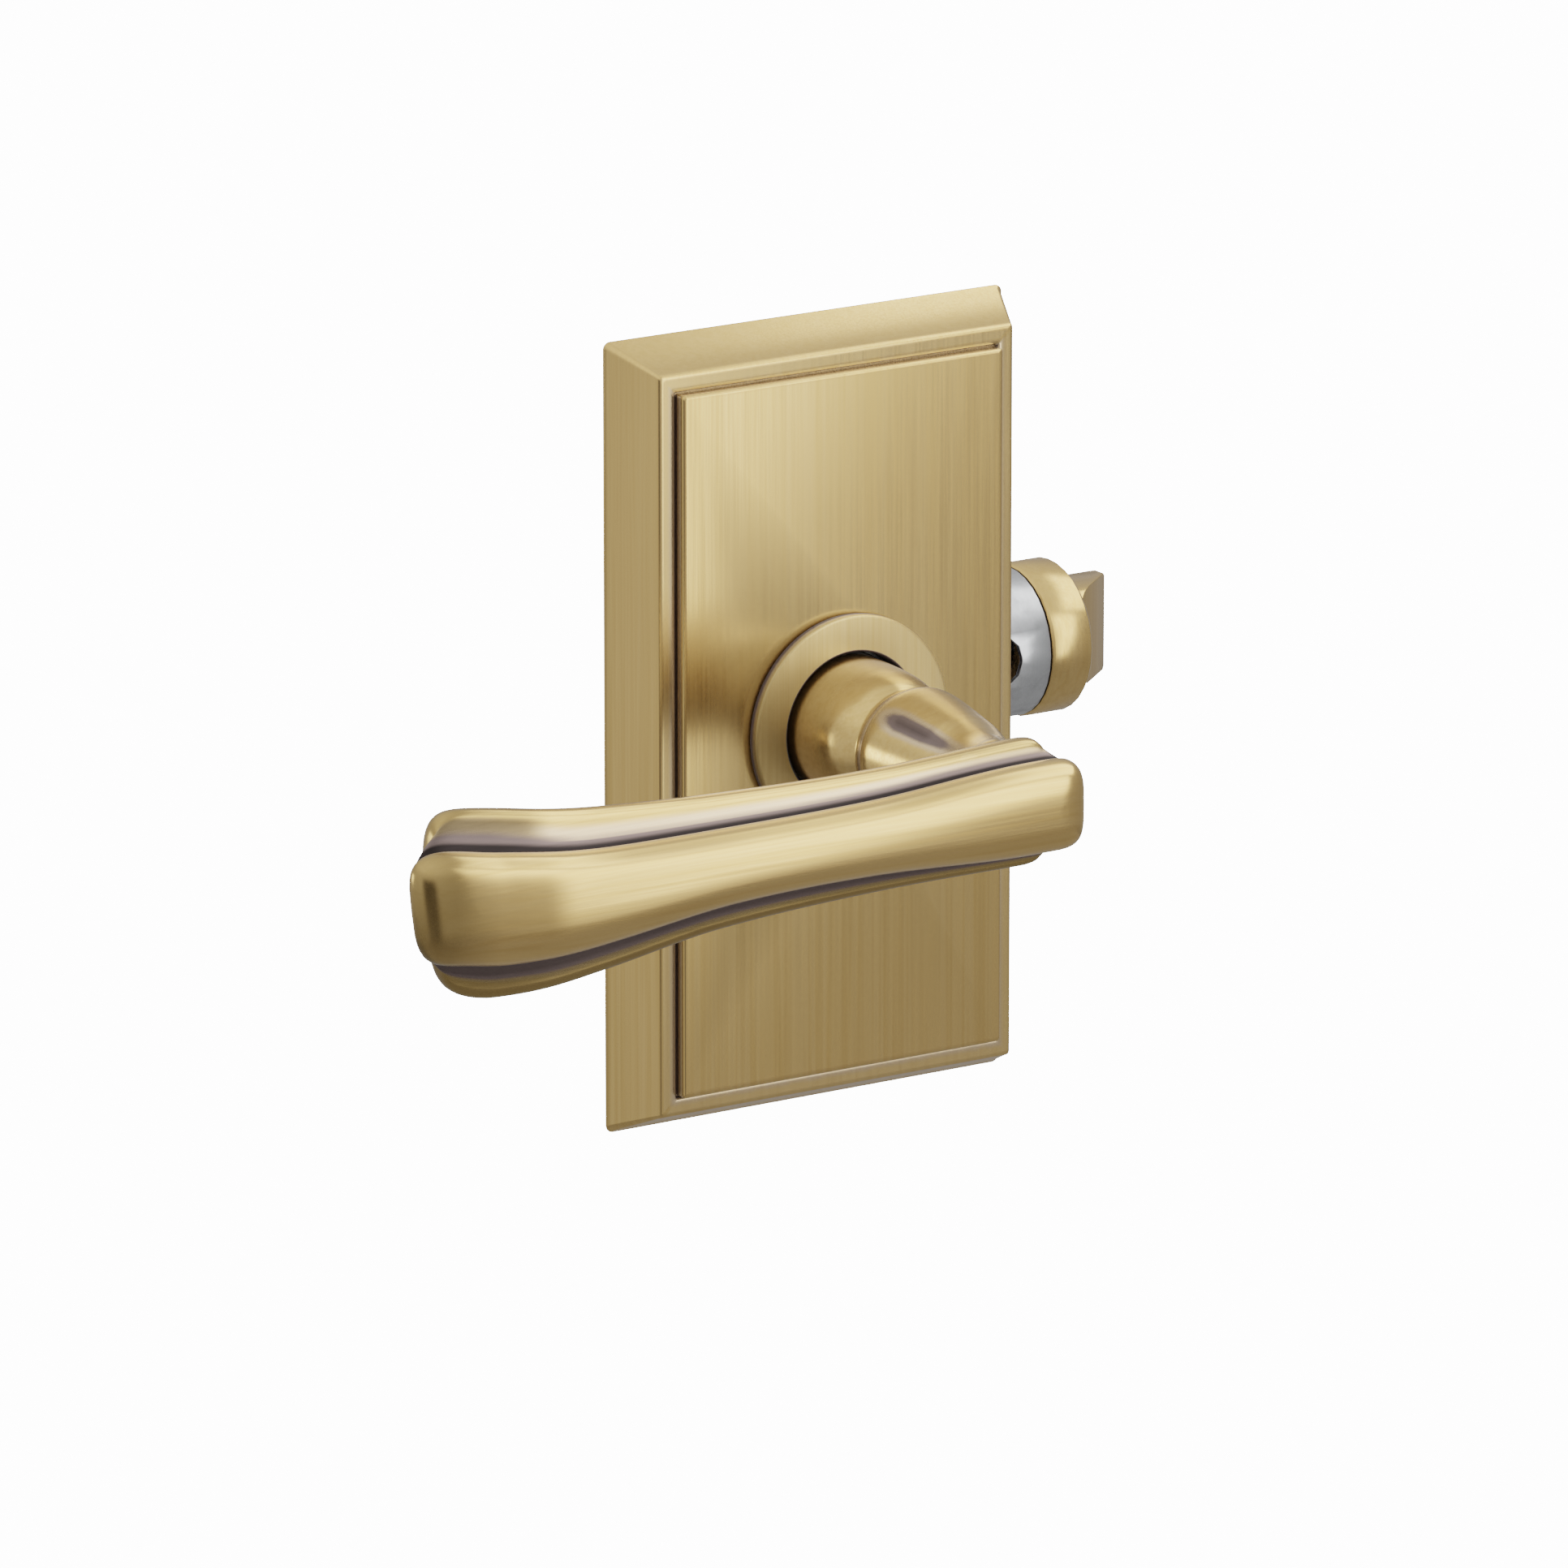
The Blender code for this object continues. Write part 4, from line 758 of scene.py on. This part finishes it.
def oval(centre_x, centre_z, half_width, half_height, depth, count):
    """Points round an ellipse that stands upright at a depth from the door."""
    points = []
    for step in range(count):
        angle = math.tau * step / count
        x = centre_x + half_width * math.cos(angle)
        points.append((x, -depth, centre_z + half_height * math.sin(angle)))
    return points


def lever_rings(count):
    """Rings of the journal, the shank and the neck, which ends inside the grip."""
    rings = [oval(0.0, 0.0, radius, radius, depth, count) for radius, depth in SHANK_PROFILE]
    swell_start, neck_start, neck_end = SHANK_SWELL[0][0], NECK_BELLY[0][0], NECK_WIDTH[-1][0]
    for step in range(1, SWELL_STEPS + 1):
        depth = swell_start + (neck_start - swell_start) * step / SWELL_STEPS
        radius = smooth_between(SHANK_SWELL, depth)
        rings.append(oval(0.0, 0.0, radius, radius, depth, count))
    for step in range(1, NECK_STEPS + 1):
        depth = neck_start + (neck_end - neck_start) * step / NECK_STEPS
        drop = smooth_between(GRIP_CENTRE, 0.0) * rise(depth, 46.0, 60.0)
        width, height = smooth_between(NECK_WIDTH, depth), smooth_between(NECK_HEIGHT, depth)
        rings.append(oval(smooth_between(NECK_CENTRE, depth), drop, width, height, depth, count))
    return rings


def lever_patina_and_shade(x, y, z):
    """Patina in the grip's cove with painted shade that widens it underneath, deepens it at the step and
    darkens it towards the tip, and a dark stroke on the neck.
    """
    depth = -y - grip_bend(x)
    if depth < GRIP_BACK - 1.0:
        turn = math.degrees(math.atan2(z, x)) - STROKE_TURN
        stroke = math.exp(-((turn / STROKE_WIDTH) ** 2))
        return 1.45 * stroke * rise(depth, 32.5, 38.5) * rise(depth, 59.0, 45.0)
    centre = smooth_between(GRIP_CENTRE, x)
    below = rise(z, centre, centre - 1.5)
    shoulder = 0.1 * below * rise(depth, GRIP_SHOULDER + 0.5, COVE_START)
    if depth < COVE_START:
        return shoulder
    share = rise(depth, COVE_START, GRIP_STEP) ** (1 / COVE_CURVE)
    film = (0.72 + 0.2 * rise(x, -45.0, -15.0)) * rise(share, 0.0, 0.6)
    # Patina in the cove, with painted shade deepest at the step and towards the tip.
    upper_cove = film + 1.35 * rise(share, 0.66, 0.90) + 0.6 * rise(x, -84.0, -100.0) * share
    # Painted shade: the cove dark over more of its width underneath.
    lower_cove = 1.35 * rise(share, 0.10, 0.45)
    fall = rise(depth, GRIP_STEP + 0.75, GRIP_STEP + 0.45)
    return fall * max(shoulder, upper_cove * (1.0 - below) + lower_cove * below)


def lever_painted_shade(x, y, z):
    """Brown painted shade under both layers of the grip, at both its ends, and at the shank's root."""
    depth = -y - grip_bend(x)
    if depth < GRIP_BACK - 1.0:
        return 0.7 * rise(depth, SHANK_START + 6.0, SHANK_START + 1.0) * rise(x, 4.8, -7.2)
    above = z - smooth_between(GRIP_CENTRE, x)
    if depth < GRIP_STEP:
        under = 0.8 * rise(above, 0.0, -2.0) * rise(depth, 59.5, 62.5)
        ends = 0.6 * rise(x, -88.5, -92.5) + 0.42 * rise(x, -24.0, -10.0)
        return under + ends * rise(above, 0.0, 2.0)
    under = 0.7 * rise(above, -3.5, -5.5) * rise(depth, 70.0, 68.5)
    return under + 0.65 * rise(x, -101.0, -109.0)


def lever(brass):
    """One casting: journal with its groove and flats, swelling shank, neck, and the stepped grip."""
    piece = skin("lever", lever_rings(96), LEVER_SHARP)
    grip = skin("grip", [grip_ring(*contour, 96, 14) for contour in grip_profile(16)], LEVER_SHARP)
    hole = rod("hole", SET_SCREW_RADIUS, -14, -2, along_z((0.0, -SET_SCREW_DEPTH, 0.0)), 48)
    ends = (JOURNAL_END - 1.0, SOCKET_END)
    socket = slab("socket", SOCKET_HALF, SOCKET_HALF, 0.4, *ends, along_y(), 0, 2)
    steps = [("UNION", grip), ("DIFFERENCE", socket), ("DIFFERENCE", hole)]
    for side in (-1, 1):
        low = (side * FLAT_DISTANCE, -1.6, -10.0)
        high = (side * (FLAT_DISTANCE + 4.0), 5.0, 10.0)
        steps.append(("DIFFERENCE", box("flat", low, high)))
    combine(piece, *steps)
    piece.data.set_sharp_from_angle(angle=math.radians(LEVER_SHARP))
    store_amount(piece, lever_patina_and_shade, "patina_and_shade")
    store_amount(piece, lever_painted_shade, "painted_shade")
    paint(piece, brass, across=((0, 0.3, 1), (1, 0, 0)))
    return settle(piece, "lever", "lever_handle")


# ---------------------------------------------------------------- springs

# The return spring: a straight leg, a coil and a leg that points outwards.
COIL_RADIUS = 13.2
COIL_WIRE = 0.8
COIL_TURNS = 2.75
COIL_PITCH = 1.9
COIL_START = 2.3
COIL_STEPS = 48
COIL_LEG_START = 0.6
COIL_LEG_REACH = 17.3

BOLT_COIL_WIRE = 0.45
BOLT_COIL_TURNS = 6.5
BOLT_COIL_STEPS = 36


def wire(name, path, radius, sides=12):
    """Round wire along a path of points, its ends closed."""
    points = [Vector(point) for point in path]
    rings = []
    side = (points[1] - points[0]).orthogonal()
    for i, point in enumerate(points):
        tangent = (points[min(i + 1, len(points) - 1)] - points[max(i - 1, 0)]).normalized()
        side = (side - tangent * side.dot(tangent)).normalized()
        up = tangent.cross(side)
        turns = [math.tau * k / sides for k in range(sides)]
        rings.append([point + radius * (math.cos(turn) * side + math.sin(turn) * up) for turn in turns])
    return skin(name, rings, WIRE_SHARP)


def return_coil(steel):
    """Torsion spring in its cage."""
    path = [(COIL_RADIUS, COIL_LEG_START, 0.0), (COIL_RADIUS, COIL_LEG_START - COIL_START, 0.0)]
    for step in range(1, int(COIL_TURNS * COIL_STEPS) + 1):
        angle = math.tau * step / COIL_STEPS
        depth = COIL_START + COIL_PITCH * step / COIL_STEPS
        path.append((COIL_RADIUS * math.cos(angle), -depth, -COIL_RADIUS * math.sin(angle)))
    x, y, z = path[-1]
    for reach in (1.05, COIL_LEG_REACH / COIL_RADIUS):
        path.append((x * reach, y, z * reach))
    spring = paint(wire("return_coil", path, COIL_WIRE), steel)
    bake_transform(spring)
    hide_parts("return_spring")


def bolt_coil(steel):
    """Compression spring behind the bolt, on the retractor's body."""
    low, high = corners("bolt_spring")
    middle = (low + high) / 2
    radius = (high.z - low.z) / 2 - BOLT_COIL_WIRE
    start, end = low.x + BOLT_COIL_WIRE, high.x - BOLT_COIL_WIRE
    total = int(BOLT_COIL_TURNS * BOLT_COIL_STEPS)
    path = []
    for step in range(total + 1):
        angle = math.tau * step / BOLT_COIL_STEPS
        x = start + (end - start) * step / total
        path.append((x, middle.y + radius * math.cos(angle), radius * math.sin(angle)))
    spring = paint(wire("bolt_coil", path, BOLT_COIL_WIRE), steel)
    settle(spring, "retractor", "bolt_spring")
    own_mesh(spring)


# ---------------------------------------------------------------- every other piece

# CAD nodes that have a finer piece of their own.
FINE = ("rose_plate", "rose_collar", "lever_handle", "return_spring", "bolt_spring")
EASED_EDGE = 0.12


def eased(node, width):
    """Copy of a CAD node with smooth shading and its sharp edges rounded by a width in millimetres."""
    bm = bmesh.new()
    bm.from_mesh(frame["nodes"][node].data)
    bmesh.ops.remove_doubles(bm, verts=bm.verts, dist=1e-7)
    bmesh.ops.dissolve_limit(bm, angle_limit=math.radians(0.5), verts=bm.verts, edges=bm.edges)
    sharp_angle = math.radians(EASED_SHARP)
    closed = [edge for edge in bm.edges if len(edge.link_faces) == 2]
    sharp = [edge for edge in closed if edge.calc_face_angle(0.0) > sharp_angle]
    bmesh.ops.bevel(
        bm, geom=sharp, offset=width * MM, segments=2, profile=0.5, affect="EDGES", clamp_overlap=True
    )
    mesh = bpy.data.meshes.new("eased_" + node)
    bm.to_mesh(mesh)
    bm.free()
    mesh.shade_smooth()
    mesh.set_sharp_from_angle(angle=sharp_angle)
    obj = bpy.data.objects.new("eased_" + node, mesh)
    bpy.context.scene.collection.objects.link(obj)
    return obj


def dress_other_nodes(looks):
    """Eased copies of the CAD nodes that have no finer piece of their own."""
    record = frame["record"]
    finish_of = {part["node"]: part["material_slot"] for part in record["subparts"]}
    body_of = {node: body for body, nodes in record["behaviour"]["bodies"].items() for node in nodes}
    for node in frame["nodes"]:
        if node in FINE:
            continue
        piece = paint(eased(node, EASED_EDGE), looks[finish_of[node]])
        settle(piece, body_of[node], node)


# ---------------------------------------------------------------- studio

# Brightness of the room and the floor as the camera sees them, which the view turns into white.
SEEN_WHITE = 11.0

# (height, brightness) of the room's light: height 0 is straight down, 0.5 level and 1 straight up.
ROOM_LIGHT = ((0.0, 0.12), (0.22, 0.22), (0.37, 0.45), (0.50, 0.50), (0.62, 0.56), (0.85, 0.92), (1.0, 1.05))
ROOM_FALL_TO_RIGHT = 0.333
FLOOR_HALF = 750.0
FLOOR_BELOW = -420.0
FLOOR_GREY = (0.24, 0.24, 0.24, 1.0)
FLOOR_PALE = (0.27, 0.27, 0.27, 1.0)

CAMERA_AZIMUTH = math.radians(-33.01)
CAMERA_ELEVATION = math.radians(15.205)
CAMERA_DISTANCE = 2.1438
CAMERA_LENS = 306.7
CAMERA_SENSOR = 36.0
CAMERA_TARGET = (-0.003493, 0.0, -0.012227)


def card(name, rim, strength, fades, left=None):
    """Glowing panel that the camera doesn't see. rim holds its corners in metres, in order round it.

    fades are the shares of its width and height over which it fades at the edges. left holds two places on X
    between which it also fades in.
    """
    bm = bmesh.new()
    verts = [bm.verts.new(Vector(point) + LAYOUT * MM) for point in rim]
    bm.faces.new(verts)
    mesh = bpy.data.meshes.new(name)
    bm.to_mesh(mesh)
    bm.free()
    layer = mesh.uv_layers.new(name="rim")
    square = ((0.0, 0.0), (1.0, 0.0), (1.0, 1.0), (0.0, 1.0))
    for loop, uv in zip(layer.data, square):
        loop.uv = uv
    obj = bpy.data.objects.new(name, mesh)
    bpy.context.scene.collection.objects.link(obj)
    tree = Tree(name + "_glow")
    uv = tree.nodes.new("ShaderNodeUVMap")
    uv.uv_map = "rim"
    split = tree.add("SeparateXYZ", Vector=uv.outputs[0])
    fade = 1.0
    for axis, edge in zip(("X", "Y"), fades):
        value = split.outputs[axis]
        inner = tree.math("MINIMUM", value, tree.math("SUBTRACT", 1.0, value))
        fade = tree.math("MULTIPLY", fade, tree.ramp(inner, 0.0, edge, 0.0, 1.0))
    if left:
        position = tree.nodes.new("ShaderNodeNewGeometry").outputs["Position"]
        across = tree.add("SeparateXYZ", Vector=position).outputs["X"]
        fade = tree.math("MULTIPLY", fade, tree.ramp(across, *left, 0.0, 1.0))
    glow = tree.add("Emission", Strength=strength)
    clear = tree.nodes.new("ShaderNodeBsdfTransparent")
    tree.blend_surface(fade, clear.outputs[0], glow.outputs[0])
    mesh.materials.append(tree.material)
    obj.visible_camera = False


def surroundings():
    """Light of the room: dim below, brighter above and at the left. The camera sees plain white."""
    world = bpy.data.worlds.new("studio")
    bpy.context.scene.world = world
    world.use_nodes = True
    nodes, links = world.node_tree.nodes, world.node_tree.links

    def math_node(operation, *values):
        node = nodes.new("ShaderNodeMath")
        node.operation = operation
        for socket, value in zip(node.inputs, values):
            if isinstance(value, bpy.types.NodeSocket):
                links.new(value, socket)
            else:
                socket.default_value = value
        return node.outputs[0]

    split = nodes.new("ShaderNodeSeparateXYZ")
    links.new(nodes.new("ShaderNodeTexCoord").outputs["Generated"], split.inputs[0])
    ramp = nodes.new("ShaderNodeValToRGB")
    ramp.color_ramp.interpolation = "EASE"
    elements = ramp.color_ramp.elements
    while len(elements) < len(ROOM_LIGHT):
        elements.new(0.5)
    for element, (at, value) in zip(elements, ROOM_LIGHT):
        element.position = at
        element.color = (value, value, value, 1.0)
    links.new(math_node("MULTIPLY_ADD", split.outputs["Z"], 0.5, 0.5), ramp.inputs[0])
    side = math_node("SUBTRACT", 1.0, math_node("MULTIPLY", split.outputs["X"], ROOM_FALL_TO_RIGHT))
    light = math_node("MULTIPLY", ramp.outputs[0], side)
    seen = nodes.new("ShaderNodeMix")
    seen.data_type = "FLOAT"
    links.new(nodes.new("ShaderNodeLightPath").outputs["Is Camera Ray"], seen.inputs[0])
    links.new(light, seen.inputs[2])
    seen.inputs[3].default_value = SEEN_WHITE
    nodes["Background"].inputs["Color"].default_value = (1.0, 1.0, 1.0, 1.0)
    links.new(seen.outputs[0], nodes["Background"].inputs["Strength"])


def floor():
    """Pale floor, out of sight below. The camera sees plain white where it lies."""
    sheet = slab("floor", FLOOR_HALF, FLOOR_HALF, 100.0, 0.0, 5.0, along_z((0.0, 0.0, FLOOR_BELOW)))
    tree = Tree("floor_white")
    pale = tree.mix(tree.streaks((0.7, 0.7, 0.7), 1.0, 2.0), FLOOR_GREY, FLOOR_PALE)
    tree.set(Base_Color=pale, Roughness=0.9)
    white = tree.add("Emission", Strength=SEEN_WHITE)
    rays = tree.nodes.new("ShaderNodeLightPath")
    tree.blend_surface(rays.outputs["Is Camera Ray"], tree.shader.outputs[0], white.outputs[0])
    sheet.data.materials.append(tree.material)


def studio():
    """Floor, soft boxes at the right front, above and at the back left, and a dim panel at the front left."""
    surroundings()
    floor()
    key = ((-0.06, -0.39, -0.15), (0.155, -0.39, -0.15), (0.405, -0.39, 0.36), (-0.06, -0.39, 0.40))
    card("key_card", key, strength=3.1, fades=(0.10, 0.12), left=(0.03, 0.14))
    top = ((0.29, -0.60, 0.60), (0.95, -0.60, 0.60), (0.95, 0.27, 0.60), (0.29, 0.27, 0.60))
    card("top_card", top, strength=3.0, fades=(0.12, 0.12))
    back = ((-0.74, 0.34, -0.14), (-0.54, 0.60, -0.14), (-0.54, 0.60, 0.12), (-0.74, 0.34, 0.12))
    card("back_card", back, strength=4.0, fades=(0.3, 0.3))
    flag = ((-0.95, -0.15, -0.55), (-0.42, -0.95, -0.55), (-0.42, -0.95, 0.25), (-0.95, -0.15, 0.25))
    card("dark_flag", flag, strength=0.12, fades=(0.32, 0.32))


def camera():
    """Long lens from the front left, a little above the lever."""
    target = Vector(CAMERA_TARGET) + LAYOUT * MM
    level = math.cos(CAMERA_ELEVATION)
    across, towards = math.sin(CAMERA_AZIMUTH) * level, -math.cos(CAMERA_AZIMUTH) * level
    back = Vector((across, towards, math.sin(CAMERA_ELEVATION)))
    data = bpy.data.cameras.new("camera")
    data.lens, data.sensor_width = CAMERA_LENS, CAMERA_SENSOR
    obj = bpy.data.objects.new("camera", data)
    obj.location = target + back * CAMERA_DISTANCE
    obj.rotation_euler = (-back).to_track_quat("-Z", "Y").to_euler()
    bpy.context.scene.collection.objects.link(obj)
    bpy.context.scene.camera = obj


def main():
    """Builds every piece with its finish, then the studio and the camera."""
    upright = antique_brass("brass_upright", UPRIGHT, anisotropy=0.4)
    lengthwise = antique_brass("brass_lengthwise", LENGTHWISE, 0.015, 0.20, anisotropy=0.3)
    looks = {
        "antique_brass": antique_brass("brass_plain", UPRIGHT, recess_reach=2.0),
        "zinc_steel": plated_steel("zinc_steel", (0.56, 0.57, 0.58)),
        "dark_steel": plated_steel("dark_steel", (0.17, 0.17, 0.175), 0.42),
        "spring_steel": plated_steel("spring_steel", (0.42, 0.42, 0.44), 0.30),
        "bright_steel": plated_steel("bright_steel", (0.66, 0.66, 0.66), 0.26),
        "white_nylon": nylon("white_nylon"),
    }
    rose(upright)
    # The collar's paler brass paints light onto its face.
    collar(antique_brass("brass_turned_lit", UPRIGHT, 0.02, 0.46, line_strength=0.12, base=BRASS_COLLAR_LIT))
    lever(lengthwise)
    dress_other_nodes(looks)
    return_coil(looks["spring_steel"])
    bolt_coil(looks["spring_steel"])
    studio()
    camera()
    bpy.context.scene.view_settings.view_transform = "Filmic"


main()
